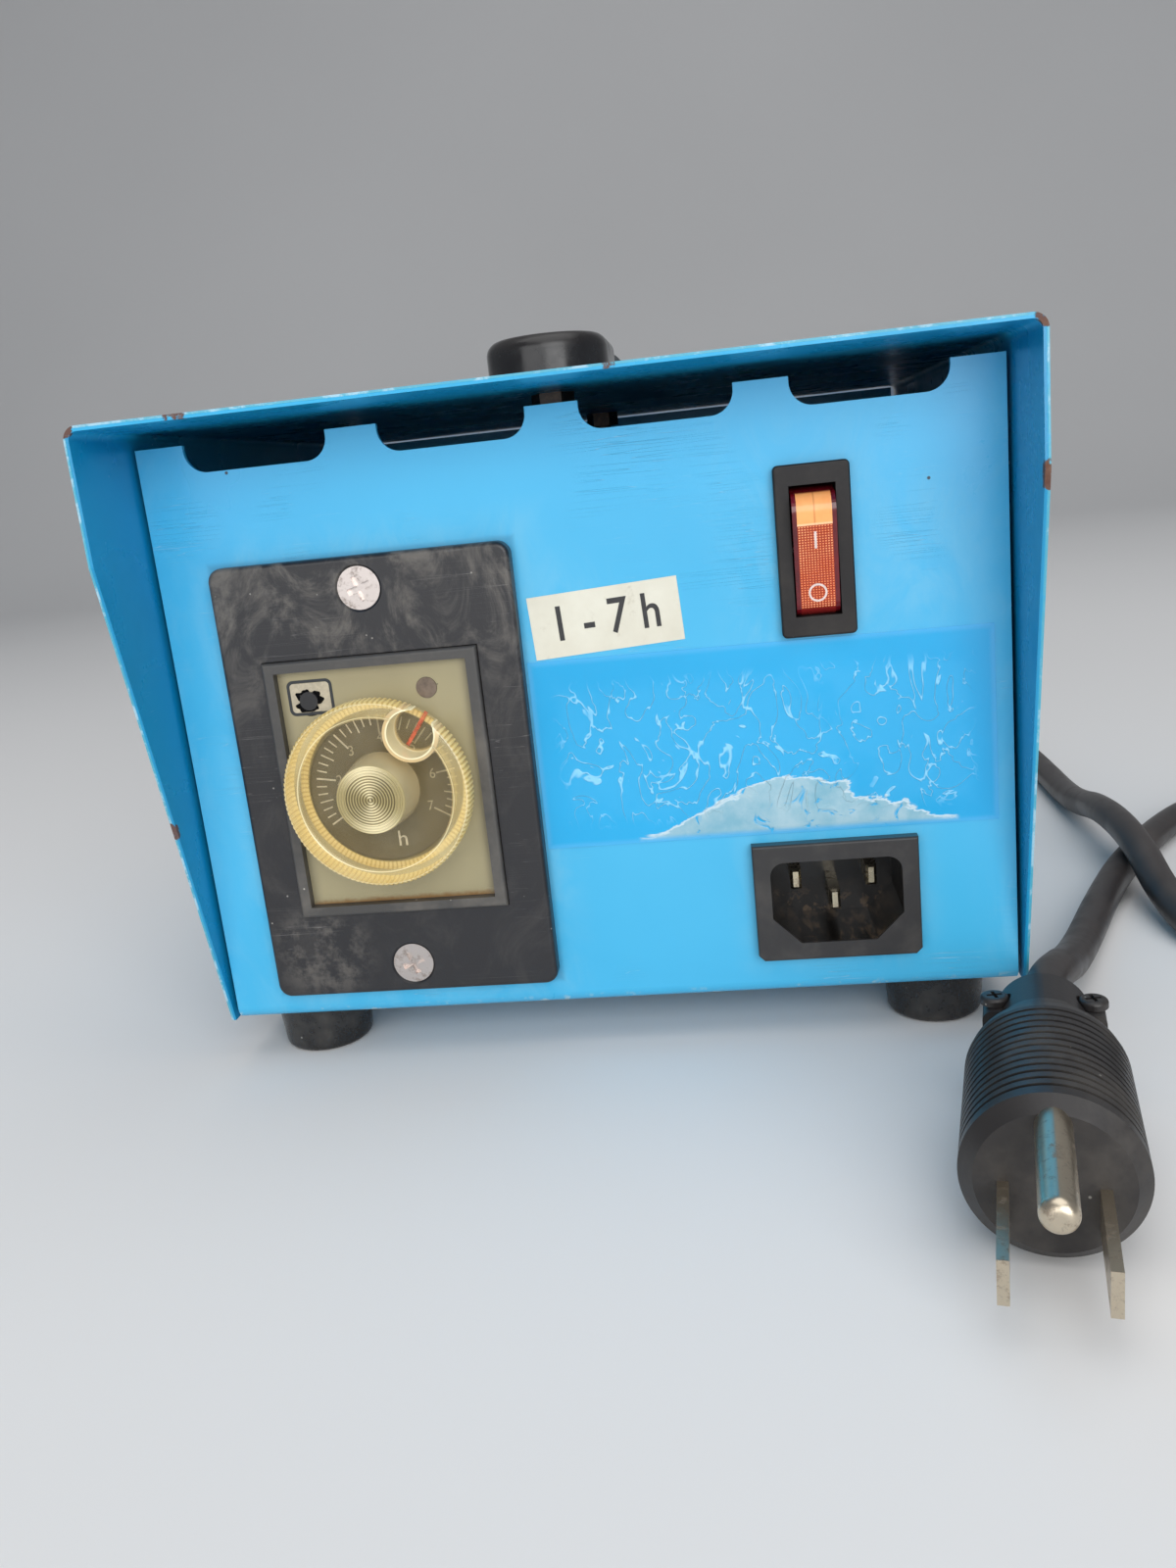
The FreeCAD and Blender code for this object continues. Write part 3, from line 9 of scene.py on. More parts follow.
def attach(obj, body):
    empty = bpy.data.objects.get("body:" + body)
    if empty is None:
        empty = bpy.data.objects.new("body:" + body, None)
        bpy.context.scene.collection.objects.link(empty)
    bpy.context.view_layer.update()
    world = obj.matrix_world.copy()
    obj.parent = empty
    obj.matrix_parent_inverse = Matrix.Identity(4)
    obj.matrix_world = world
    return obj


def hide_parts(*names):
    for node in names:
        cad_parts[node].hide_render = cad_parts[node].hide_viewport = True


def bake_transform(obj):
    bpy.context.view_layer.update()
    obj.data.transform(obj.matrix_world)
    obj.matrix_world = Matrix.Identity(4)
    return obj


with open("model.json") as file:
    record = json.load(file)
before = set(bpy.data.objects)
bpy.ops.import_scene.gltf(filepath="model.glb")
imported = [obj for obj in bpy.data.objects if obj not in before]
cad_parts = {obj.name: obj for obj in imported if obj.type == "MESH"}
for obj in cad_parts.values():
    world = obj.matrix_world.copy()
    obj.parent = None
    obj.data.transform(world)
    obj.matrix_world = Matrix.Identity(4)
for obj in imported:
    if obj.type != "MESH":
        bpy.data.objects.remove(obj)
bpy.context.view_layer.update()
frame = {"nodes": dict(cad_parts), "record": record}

MM = 0.001
# Places and sizes are in millimetres of the frame: X to the right, Y to the back, Z up.
Y_PANEL, Y_REAR, Z_BASE = -68.0, 77.0, 9.5  # faces of the front and rear panels, underside of the box
X_COVER, Y_HOOD, Z_COVER = 77.4, -89.0, 124.3  # side, front edge and top of the hood
DIAL = (-37.5, 56.4)  # the dial's axis, X and Z
ROCKER = (43.1, -64.0, 91.5)  # the rocker's pivot
SCALE_Y = Y_PANEL - 3.1  # front of the printed scale
HOUR_DEG = 40.3  # between hours on the scale
NOON = 4  # the hour that is straight up
CUP_R = 4.3  # the knob's finger hole
CUP_ANGLE = math.radians(36.5)  # from straight up to the hole's middle
CUP_AT = (DIAL[0] + 13.2 * math.sin(CUP_ANGLE), DIAL[1] + 13.2 * math.cos(CUP_ANGLE))
KNURLS = 116  # grooves round the knob's rim
LEAD = 7.2  # thickness of the mains lead
LEAD_EXIT = (38, 26)  # where it leaves the rear panel, X and Z

# Rectangles on the front panel: the middle's X and Z, the width and the height.
PLATE = (-37.5, 56.75, 55.6, 83.5)
ROCKER_BEZEL = (43.1, 91.5, 12.9, 29.4)
OUTLET = (43.4, 28.1, 29.9, 22.5)
FILM = (31.8, 58.6, 82.0, 35.3)
FILM_CREASED = (32.0, 58.0, 74.0, 27.0)
FILM_TORN = (37.0, 50.0, 58.0, 18.0)

WARM_DUST = (0.30, 0.27, 0.23)
PAINT_PALE = (0.20, 0.56, 0.76)
PRIMER, RUST = (0.42, 0.62, 0.70), (0.10, 0.030, 0.012)
# Rust on the hood: X, Y, Z, radius and strength of each spot.
RUST_SPOTS = [
    (-77, -89, 124, 2.6, 1.0), (77, -89, 124, 3.2, 1.0), (77.4, -88, 101, 4, 1.0), (-77.4, -78, 52, 3, 1.0),
    (-58, -89, 124, 4, 0.8), (12, -89, 124, 3, 0.8), (77.4, 89, 122, 7, 0.9), (-77.4, 89, 101, 7, 0.9),
]


# ---------------------------------------------------------------- camera
def make_camera():
    """The photograph's camera, as solved from the box's straight edges."""
    data = bpy.data.cameras.new("camera")
    data.sensor_width, data.lens = 36.0, 28.18
    data.clip_start = 0.01
    cam = bpy.data.objects.new("camera", data)
    bpy.context.collection.objects.link(cam)
    right = Vector((0.98893, 0.10694, -0.10290))
    up = Vector((0.07319, 0.25169, 0.96504))
    back = right.cross(up).normalized()
    up = back.cross(right)
    turn = Matrix((right, up, back)).transposed().to_4x4()
    cam.matrix_world = Matrix.Translation((0.0288, -0.2861, 0.1076)) @ turn
    bpy.context.scene.camera = cam


make_camera()


# ---------------------------------------------------------------- node materials
class Shade:
    """A short way to write a node material. Lengths are in millimetres of the frame."""

    def __init__(self, name, metal=0.0, spec=0.5):
        self.mat = bpy.data.materials.new(name)
        self.mat.use_nodes = True
        self.tree = self.mat.node_tree
        self.bsdf = self.tree.nodes["Principled BSDF"]
        self.bsdf.inputs["Metallic"].default_value = metal
        self.bsdf.inputs["Specular IOR Level"].default_value = spec
        coord = self.tree.nodes.new("ShaderNodeTexCoord")
        scaled = self.tree.nodes.new("ShaderNodeVectorMath")
        scaled.operation = "SCALE"
        self.tree.links.new(coord.outputs["Object"], scaled.inputs[0])
        scaled.inputs["Scale"].default_value = 1000.0
        self.p = scaled.outputs[0]
        split = self.tree.nodes.new("ShaderNodeSeparateXYZ")
        self.tree.links.new(self.p, split.inputs[0])
        self.x, self.y, self.z = split.outputs

    def put(self, socket, value):
        """Links a node's output to an input, or sets the input to a number or colour."""
        if isinstance(value, bpy.types.NodeSocket):
            self.tree.links.new(value, socket)
        elif value is not None:
            if hasattr(value, "__len__") and len(value) == 3 and socket.type == "RGBA":
                value = (*value, 1.0)
            socket.default_value = value

    def m(self, op, a, b=None):
        """One operation on numbers."""
        node = self.tree.nodes.new("ShaderNodeMath")
        node.operation = op
        for socket, value in zip(node.inputs, (a, b)):
            self.put(socket, value)
        return node.outputs[0]

    def times(self, *values):
        """The product of masks and numbers."""
        out = values[0]
        for value in values[1:]:
            out = self.m("MULTIPLY", out, value)
        return out

    def most(self, *values):
        """The largest of masks and numbers."""
        out = values[0]
        for value in values[1:]:
            out = self.m("MAXIMUM", out, value)
        return out

    def step(self, value, low, high, out0=0.0, out1=1.0):
        """Rises smoothly from out0 at low to out1 at high."""
        node = self.tree.nodes.new("ShaderNodeMapRange")
        node.interpolation_type = "SMOOTHSTEP"
        for socket, v in zip(node.inputs, (value, low, high, out0, out1)):
            self.put(socket, v)
        return node.outputs[0]

    def fall(self, value, low, high):
        """Falls smoothly from 1 at low to 0 at high."""
        return self.step(value, low, high, 1.0, 0.0)

    def band(self, value, at, low, high):
        """1 while the value is within low of a place, 0 when it is further off than high."""
        return self.fall(self.m("ABSOLUTE", self.m("SUBTRACT", value, at)), low, high)

    def place(self, size, stretch=(1, 1, 1), turn=(0, 0, 0), seed=(0, 0, 0)):
        """The point, in units of a pattern's size."""
        node = self.tree.nodes.new("ShaderNodeMapping")
        node.inputs["Location"].default_value = seed
        node.inputs["Rotation"].default_value = [math.radians(a) for a in turn]
        node.inputs["Scale"].default_value = [s / size for s in stretch]
        self.put(node.inputs["Vector"], self.p)
        return node.outputs[0]

    def noise(self, size, detail=3.0, rough=0.55, warp=0.0, **where):
        """Clouds of about this size, from 0 to 1."""
        node = self.tree.nodes.new("ShaderNodeTexNoise")
        node.inputs["Scale"].default_value = 1.0
        node.inputs["Detail"].default_value = detail
        node.inputs["Roughness"].default_value = rough
        node.inputs["Distortion"].default_value = warp
        self.put(node.inputs["Vector"], self.place(size, **where))
        return node.outputs["Fac"]

    def specks(self, size, low, high, **where):
        """Round specks, one to a cell of this size, that fade out between two radii."""
        node = self.tree.nodes.new("ShaderNodeTexVoronoi")
        node.feature = "F1"
        node.inputs["Scale"].default_value = 1.0
        self.put(node.inputs["Vector"], self.place(size, **where))
        return self.fall(node.outputs["Distance"], low, high)

    def mix(self, fac, a, b):
        """Colour a where fac is 0, colour b where it is 1."""
        node = self.tree.nodes.new("ShaderNodeMix")
        node.data_type = "RGBA"
        self.put(node.inputs[0], fac)
        self.put(node.inputs[6], a)
        self.put(node.inputs[7], b)
        return node.outputs[2]

    def tint(self, colour, mask, share, tone):
        """The colour, drawn towards a tone by a share where the mask is 1."""
        return self.mix(self.m("MULTIPLY", mask, share), colour, tone)

    def ramp(self, fac, *stops):
        """A colour for each value of fac, from (value, colour) stops."""
        node = self.tree.nodes.new("ShaderNodeValToRGB")
        ramp = node.color_ramp
        while len(ramp.elements) < len(stops):
            ramp.elements.new(0.5)
        for element, (at, colour) in zip(ramp.elements, stops):
            element.position, element.color = at, (*colour, 1.0)
        self.put(node.inputs[0], fac)
        return node.outputs[0]

    def rect(self, x, z, w, h):
        """Distance outside a rectangle on the front panel, negative inside it."""
        dx = self.m("SUBTRACT", self.m("ABSOLUTE", self.m("SUBTRACT", self.x, x)), w / 2)
        dz = self.m("SUBTRACT", self.m("ABSOLUTE", self.m("SUBTRACT", self.z, z)), h / 2)
        return self.m("MAXIMUM", dx, dz)

    def round(self, x, z):
        """Distance from an axis along Y."""
        dx, dz = self.m("SUBTRACT", self.x, x), self.m("SUBTRACT", self.z, z)
        return self.m("SQRT", self.m("ADD", self.m("MULTIPLY", dx, dx), self.m("MULTIPLY", dz, dz)))

    def spot(self, x, y, z, r, strength=1.0):
        """Full strength at a point, fading to 0 at r millimetres from it."""
        pairs = ((self.x, x), (self.y, y), (self.z, z))
        parts = [self.m("POWER", self.m("SUBTRACT", a, b), 2.0) for a, b in pairs]
        away = self.m("SQRT", self.m("ADD", self.m("ADD", parts[0], parts[1]), parts[2]))
        return self.step(away, r * 0.35, r, strength, 0.0)

    def bump(self, height, depth, after=None):
        """Height from 0 to 1, with its depth in millimetres."""
        node = self.tree.nodes.new("ShaderNodeBump")
        node.inputs["Strength"].default_value = 1.0
        node.inputs["Distance"].default_value = depth * MM
        self.put(node.inputs["Height"], height)
        self.put(node.inputs["Normal"], after)
        return node.outputs[0]

    def done(self, colour, rough, normal=None, **inputs):
        """Joins the colour, roughness and so on to the surface, and returns the material."""
        self.put(self.bsdf.inputs["Base Color"], colour)
        self.put(self.bsdf.inputs["Roughness"], rough)
        self.put(self.bsdf.inputs["Normal"], normal)
        for name, value in inputs.items():
            self.put(self.bsdf.inputs[name.replace("_", " ")], value)
        return self.mat


def scratches(s, plane_turns=(20, -35, 65, 100)):
    """Fine hairlines in several directions on the XZ plane, 1 on a scratch."""
    lines = []
    for k, turn in enumerate(plane_turns):
        streaks = s.noise(26.0, 1.0, 0.3, stretch=(1, 1, 42), turn=(0, turn, 0), seed=(k * 7.3, 0, k * 3.1))
        line = s.band(streaks, 0.5, 0.0, 0.008)
        gate = s.step(s.noise(30.0, 2.0, 0.5, seed=(k * 5.1, 3, 9)), 0.60, 0.70)
        lines.append(s.times(line, gate))
    return s.most(*lines)


def panel_paint():
    """Pale blue enamel: chalky haze round the fittings, hairlines, chips low down and dark specks."""
    s = Shade("panel_enamel")
    cloud = s.noise(55.0, 4.0, 0.5)
    colour = s.ramp(cloud, (0.3, (0.046, 0.42, 0.72)), (0.7, (0.060, 0.46, 0.76)))
    near = [
        s.fall(s.rect(*PLATE), -0.5, 9.0),
        s.fall(s.rect(*ROCKER_BEZEL), -0.5, 15.0),
        s.times(s.fall(s.rect(*OUTLET), -0.5, 6.0), 0.6),
        s.times(s.step(s.m("ABSOLUTE", s.x), 66.0, 75.0), 0.55),
        s.spot(60, Y_PANEL, 90, 18),
        s.spot(-4, Y_PANEL, 84, 16, 0.8),
    ]
    smear = s.noise(11.0, 5.0, 0.65, stretch=(1, 1, 0.55), turn=(0, 25, 0), warp=1.2)
    front = s.fall(s.y, Y_PANEL + 2.0, Y_PANEL + 4.0)
    haze = s.times(s.most(*near), front, s.step(smear, 0.36, 0.66))
    fine = s.noise(3.0, 4.0, 0.7, stretch=(1, 1, 0.4), turn=(0, -30, 0))
    haze = s.times(haze, s.step(fine, 0.2, 0.75, 0.55, 1.0))
    colour = s.tint(colour, haze, 0.26, (0.30, 0.60, 0.74))
    lines = scratches(s)
    colour = s.tint(colour, lines, 0.45, (0.35, 0.60, 0.78))
    low = s.fall(s.z, Z_BASE + 0.2, Z_BASE + 2.2)
    chips = s.times(low, s.step(s.noise(3.4, 3.0, 0.6, seed=(4, 1, 0)), 0.56, 0.62))
    colour = s.mix(chips, colour, PRIMER)
    specks = s.specks(9.0, 0.03, 0.045, seed=(2, 0, 5))
    specks = s.times(specks, s.step(s.noise(20.0, 1.0, 0.5, seed=(8, 8, 8)), 0.5, 0.55))
    colour = s.mix(specks, colour, (0.02, 0.03, 0.05))
    shadow = s.times(s.fall(s.rect(*PLATE), 0.0, 1.2), front)
    colour = s.tint(colour, shadow, 0.35, (0.01, 0.10, 0.22))
    rough = s.m("ADD", s.times(haze, 0.25), s.step(cloud, 0.3, 0.7, 0.26, 0.36))
    peel = s.bump(s.noise(1.1, 2.0, 0.5), 0.012)
    return s.done(colour, rough, s.bump(s.times(lines, -1.0), 0.03, peel))


def cover_paint():
    """The hood and sides: a deeper blue, with painted shade on the inner faces of the sides, pale cut edges
    and rust at the corners.
    """
    s = Shade("hood_enamel")
    cloud = s.noise(60.0, 4.0, 0.5, seed=(3, 0, 1))
    colour = s.ramp(cloud, (0.3, (0.006, 0.35, 0.64)), (0.7, (0.010, 0.39, 0.70)))
    side = s.m("ABSOLUTE", s.x)
    # painted shade: the inner faces of the sides are drawn darker, as the shade that falls inside the hood
    inside = s.times(s.fall(side, X_COVER - 0.7, X_COVER - 0.2), s.fall(s.z, Z_COVER - 2.0, Z_COVER - 1.0))
    colour = s.tint(colour, inside, 0.5, (0.001, 0.15, 0.34))
    slope = s.times(s.m("SUBTRACT", s.z, Z_BASE), (Y_HOOD - Y_PANEL) / 92.0)
    edge_y = s.most(s.m("ADD", slope, Y_PANEL), Y_HOOD)
    from_edge = s.m("SUBTRACT", s.y, edge_y)
    nick = s.noise(5.0, 4.0, 0.7, seed=(1, 2, 3))
    bare = s.fall(s.m("ADD", from_edge, s.times(nick, -1.6)), -0.75, -0.25)
    outer = s.most(s.step(side, X_COVER - 0.5, X_COVER - 0.3), s.step(s.z, Z_COVER - 0.5, Z_COVER - 0.3))
    bare = s.times(bare, outer)
    primer = s.mix(s.step(nick, 0.5, 0.62), (0.10, 0.40, 0.50), PRIMER)
    colour = s.tint(colour, bare, 0.8, primer)
    rust = s.most(*[s.spot(*spot) for spot in RUST_SPOTS])
    rust = s.times(rust, s.step(s.m("ABSOLUTE", from_edge), 0.8, 2.6, 1.0, 0.3))
    spots = s.step(s.times(rust, s.noise(1.7, 5.0, 0.7, seed=(5, 5, 1))), 0.34, 0.42)
    rust_tone = s.ramp(s.noise(1.0, 4.0, 0.7), (0.35, RUST), (0.65, (0.15, 0.07, 0.04)))
    colour = s.mix(spots, colour, rust_tone)
    fold = s.times(s.step(side, X_COVER - 0.7, X_COVER - 0.1), s.step(s.z, Z_COVER - 1.4, Z_COVER - 0.5))
    rub = s.times(fold, s.step(s.noise(6.0, 4.0, 0.7, seed=(9, 2, 4)), 0.50, 0.60))
    colour = s.tint(colour, rub, 0.8, PRIMER)
    lines = scratches(s, (12, 80))
    colour = s.tint(colour, lines, 0.3, PAINT_PALE)
    dull = s.step(s.noise(24.0, 5.0, 0.6, seed=(0, 7, 2)), 0.45, 0.7)
    colour = s.tint(colour, dull, 0.18, (0.06, 0.24, 0.38))
    rough = s.m("ADD", s.times(spots, 0.4), s.step(dull, 0.0, 1.0, 0.27, 0.42))
    peel = s.bump(s.noise(1.1, 2.0, 0.5), 0.012)
    return s.done(colour, rough, s.bump(s.times(s.m("ADD", bare, spots), -1.0), 0.05, peel))


def moulding(name, colour, rough, grain=0.35, depth=0.012, dust=0.15, spec=0.5):
    """A moulded black or dark plastic: fine spark texture, light dust in patches and paler motes."""
    s = Shade(name, spec=spec)
    patches = s.step(s.noise(16.0, 5.0, 0.65), 0.42, 0.74)
    colour = s.tint(colour, patches, dust, WARM_DUST)
    motes = s.specks(3.1, 0.05, 0.08, seed=(1, 6, 2))
    motes = s.times(motes, s.step(s.noise(9.0, 1.0, 0.5, seed=(3, 3, 3)), 0.52, 0.60))
    colour = s.tint(colour, motes, min(1.0, dust * 3), (0.55, 0.53, 0.48))
    speckle = s.noise(grain, 2.0, 0.6)
    gloss = s.m("ADD", s.step(patches, 0, 1, rough, min(1.0, rough + 0.22)), s.times(speckle, 0.06))
    return s.done(colour, gloss, s.bump(speckle, depth))


def plate_plastic():
    """Black textured plate with pale dust wiped over its upper half."""
    s = Shade("timer_plate_black")
    high = s.step(s.z, 60, 92)
    swirl = s.noise(13.0, 6.0, 0.7, stretch=(1, 1, 0.7), turn=(0, 40, 0), warp=1.6, seed=(2, 0, 2))
    dust = s.times(s.step(swirl, 0.44, 0.70), s.m("ADD", s.times(high, 0.75), 0.12))
    corner = s.times(s.spot(-55, -71, 24, 13), s.step(s.noise(4.0, 4.0, 0.7), 0.4, 0.65))
    dust = s.most(dust, s.times(corner, 0.55))
    colour = s.mix(s.times(dust, 0.42), (0.017, 0.017, 0.020), (0.33, 0.30, 0.26))
    fine = s.noise(40.0, 1.0, 0.3, stretch=(1, 1, 60), turn=(0, 75, 0))
    hair = s.band(fine, 0.5, 0.0, 0.006)
    hair = s.times(hair, s.step(s.noise(22.0, 1.0, 0.5, seed=(1, 1, 7)), 0.5, 0.62))
    colour = s.tint(colour, hair, 0.35, (0.28, 0.27, 0.26))
    motes = s.specks(4.0, 0.03, 0.055, seed=(1, 0, 2))
    colour = s.tint(colour, motes, 0.5, (0.5, 0.48, 0.44))
    grain = s.noise(0.45, 2.0, 0.6)
    return s.done(colour, s.m("ADD", s.times(dust, 0.3), 0.36), s.bump(grain, 0.02))


def outlet_plastic():
    """Black connector body, glossier inside and painted near black there as shade, with brown scuffs low on
    the walls of its recess.
    """
    s = Shade("outlet_black")
    deep = s.step(s.y, Y_PANEL - 2.6, Y_PANEL - 1.6)
    dust = s.times(s.step(s.noise(9.0, 5.0, 0.65), 0.45, 0.75), 0.10)
    front = s.mix(dust, (0.024, 0.023, 0.024), WARM_DUST)
    rub = s.noise(2.4, 5.0, 0.7, stretch=(1, 0.3, 1))
    rub = s.times(s.step(rub, 0.50, 0.62), s.fall(s.z, 20.0, 27.0))
    # painted shade: the inside of the recess is drawn near black
    inner = s.tint((0.0035, 0.003, 0.003), rub, 0.5, (0.16, 0.105, 0.06))
    speckle = s.noise(0.5, 2.0, 0.6)
    return s.done(s.mix(deep, front, inner), s.step(deep, 0, 1, 0.46, 0.24), s.bump(speckle, 0.012))


def timer_face_paint():
    """Beige-grey printed face, with brown grime gathered along its lower edge and painted shade towards its
    left and right sides.
    """
    s = Shade("timer_face_print")
    colour = s.ramp(s.noise(22.0, 3.0, 0.5), (0.3, (0.30, 0.265, 0.155)), (0.7, (0.37, 0.325, 0.190)))
    low = s.m("SUBTRACT", s.z, 33.7)  # above the face's lower edge
    grime = s.fall(s.m("ADD", low, s.times(s.noise(2.2, 4.0, 0.7), -1.6)), -0.9, 0.35)
    colour = s.tint(colour, grime, 0.9, (0.20, 0.10, 0.025))
    # painted shade: darker towards the bezel's side walls
    side_shade = s.step(s.m("ABSOLUTE", s.m("SUBTRACT", s.x, DIAL[0])), 15.5, 17.9)
    colour = s.tint(colour, side_shade, 0.45, (0.15, 0.135, 0.10))
    motes = s.specks(5.0, 0.025, 0.04)
    colour = s.tint(colour, motes, 0.6, (0.06, 0.05, 0.04))
    return s.done(colour, s.m("ADD", s.times(grime, 0.4), 0.27), s.bump(s.noise(0.8), 0.01))


def scale_print():
    """The dark disc that carries the hours, rubbed paler in patches."""
    s = Shade("scale_dark")
    worn = s.step(s.noise(9.0, 4.0, 0.6), 0.4, 0.7)
    colour = s.mix(s.times(worn, 0.35), (0.055, 0.050, 0.036), (0.14, 0.13, 0.10))
    return s.done(colour, 0.35, s.bump(s.noise(0.7), 0.008))


def printed(name, colour, wear):
    """Ink of any colour, dark where it has worn."""
    s = Shade(name)
    worn = s.step(s.noise(1.3, 4.0, 0.7), 0.38, 0.62)
    dull = tuple(c * (1 - wear) + 0.05 * wear for c in colour)
    return s.done(s.mix(worn, dull, colour), 0.5, s.bump(s.noise(0.4), 0.006))


def clear_plastic():
    """Clear acrylic gone yellow, see-through over the scale: painted highlights on its moulded edges, painted
    shade in the knurl's grooves, a painted sheen on two sectors of the ringed boss and a faint painted glow.
    """
    s = Shade("knob_clear", spec=0.6)
    r = s.round(*DIAL)
    out = s.m("SUBTRACT", Y_PANEL, s.y)
    turn = s.m("ARCTAN2", s.m("SUBTRACT", s.x, DIAL[0]), s.m("SUBTRACT", s.z, DIAL[1]))
    wall = s.times(s.step(out, 5.7, 6.1), s.fall(out, 10.8, 11.1))
    knurl = s.times(wall, s.step(r, 16.5, 16.8))
    face = s.times(s.step(out, 10.8, 11.1), s.step(r, 13.7, 14.1))
    edges = s.times(s.most(*[s.band(r, at, 0.05, 0.24) for at in (14.3, 16.75)]), face)
    cup = s.round(*CUP_AT)
    cup_wall = s.times(s.step(cup, 3.6, 3.9), s.fall(cup, 5.1, 5.5), s.step(out, 5.2, 5.6))
    cup_rim = s.times(cup_wall, s.band(cup, 4.4, 0.08, 0.3))
    back = s.fall(out, 4.2, 4.7)
    behind_rim = s.times(back, s.step(r, 14.4, 14.9))
    boss_side = s.times(s.fall(r, 7.1, 7.6), s.step(out, 5.5, 6.2))
    boss_face = s.times(s.fall(r, 6.1, 6.4), s.step(out, 13.5, 13.9))
    # how much each part of the knob hides what is behind it
    cover = [
        (s.m("SUBTRACT", 1.0, back), 0.10), (wall, 0.30), (knurl, 0.88), (face, 0.34), (edges, 0.85),
        (cup_wall, 0.66), (cup_rim, 0.85), (behind_rim, 0.78), (boss_side, 0.50), (boss_face, 0.96),
    ]
    alpha = s.most(*[s.times(*pair) for pair in cover])
    colour = s.ramp(s.noise(7.0, 3.0, 0.6), (0.3, (0.90, 0.66, 0.22)), (0.7, (0.95, 0.78, 0.38)))
    # painted shade: the knurl's grooves are drawn darker
    serration = s.step(s.m("COSINE", s.times(turn, KNURLS)), -0.2, 0.7)
    groove = s.times(serration, s.most(knurl, behind_rim))
    colour = s.tint(colour, groove, 0.60, (0.52, 0.33, 0.09))
    colour = s.tint(colour, cup_wall, 0.6, (0.70, 0.50, 0.30))
    # painted highlights: the rim's edges and the cup's rim are drawn bright
    colour = s.mix(s.most(edges, cup_rim), colour, (0.95, 0.86, 0.55))
    wave = s.m("SINE", s.times(r, 2 * math.pi / 0.5))
    # painted sheen: two opposite sectors of the boss's rings are drawn brighter
    sheen_sectors = s.m("POWER", s.m("ABSOLUTE", s.m("COSINE", s.m("ADD", turn, 0.15))), 4.0)
    cream = s.mix(sheen_sectors, (0.42, 0.34, 0.15), (0.92, 0.80, 0.48))
    olive = s.mix(sheen_sectors, (0.11, 0.085, 0.030), (0.26, 0.20, 0.08))
    inner = s.fall(r, 4.6, 4.9)
    ringed = s.mix(s.times(s.fall(wave, -0.5, 0.5), s.m("ADD", s.times(inner, 0.8), 0.12)), cream, olive)
    colour = s.mix(boss_face, colour, ringed)
    colour = s.tint(colour, boss_side, s.m("SUBTRACT", 1.0, boss_face), (0.90, 0.76, 0.44))
    rings = s.times(wave, boss_face)
    rough = s.step(s.noise(5.0, 3.0, 0.6), 0.4, 0.7, 0.10, 0.24)
    skin = s.bump(s.noise(0.9, 3.0, 0.6), 0.01)
    # a faint painted glow, though the knob gives no light
    glow = {"Emission_Color": colour, "Emission_Strength": 0.10}
    return s.done(colour, rough, s.bump(rings, 0.10, skin), Alpha=alpha, **glow)


def plain(name, colour, rough, size=6.0, depth=0.008, **more):
    """A material with soft colour change and a fine surface, for the small and inner pieces."""
    s = Shade(name)
    dark, light = [tuple(min(1.0, c * share) for c in colour) for share in (0.75, 1.25)]
    mixed = s.mix(s.step(s.noise(size, 4.0, 0.6), 0.35, 0.65), dark, light)
    cloud = s.noise(size * 0.6, 3.0, 0.6, seed=(4, 4, 4))
    gloss = s.step(cloud, 0.35, 0.65, rough * 0.8, min(1.0, rough * 1.25))
    return s.done(mixed, gloss, s.bump(s.noise(0.5, 3.0, 0.6), depth), **more)


def plated_steel(name, colour=(0.62, 0.56, 0.53), rough=0.28):
    """Plated screw steel, with dirt in the hollows and a warm tarnish."""
    s = Shade(name, metal=1.0)
    dirt = s.step(s.noise(1.6, 5.0, 0.7), 0.50, 0.68)
    mixed = s.mix(s.times(dirt, 0.6), colour, (0.20, 0.15, 0.12))
    brush = s.noise(0.5, 2.0, 0.5, stretch=(1, 1, 6), turn=(0, 30, 0))
    return s.done(mixed, s.step(dirt, 0, 1, rough, 0.55), s.bump(brush, 0.01))


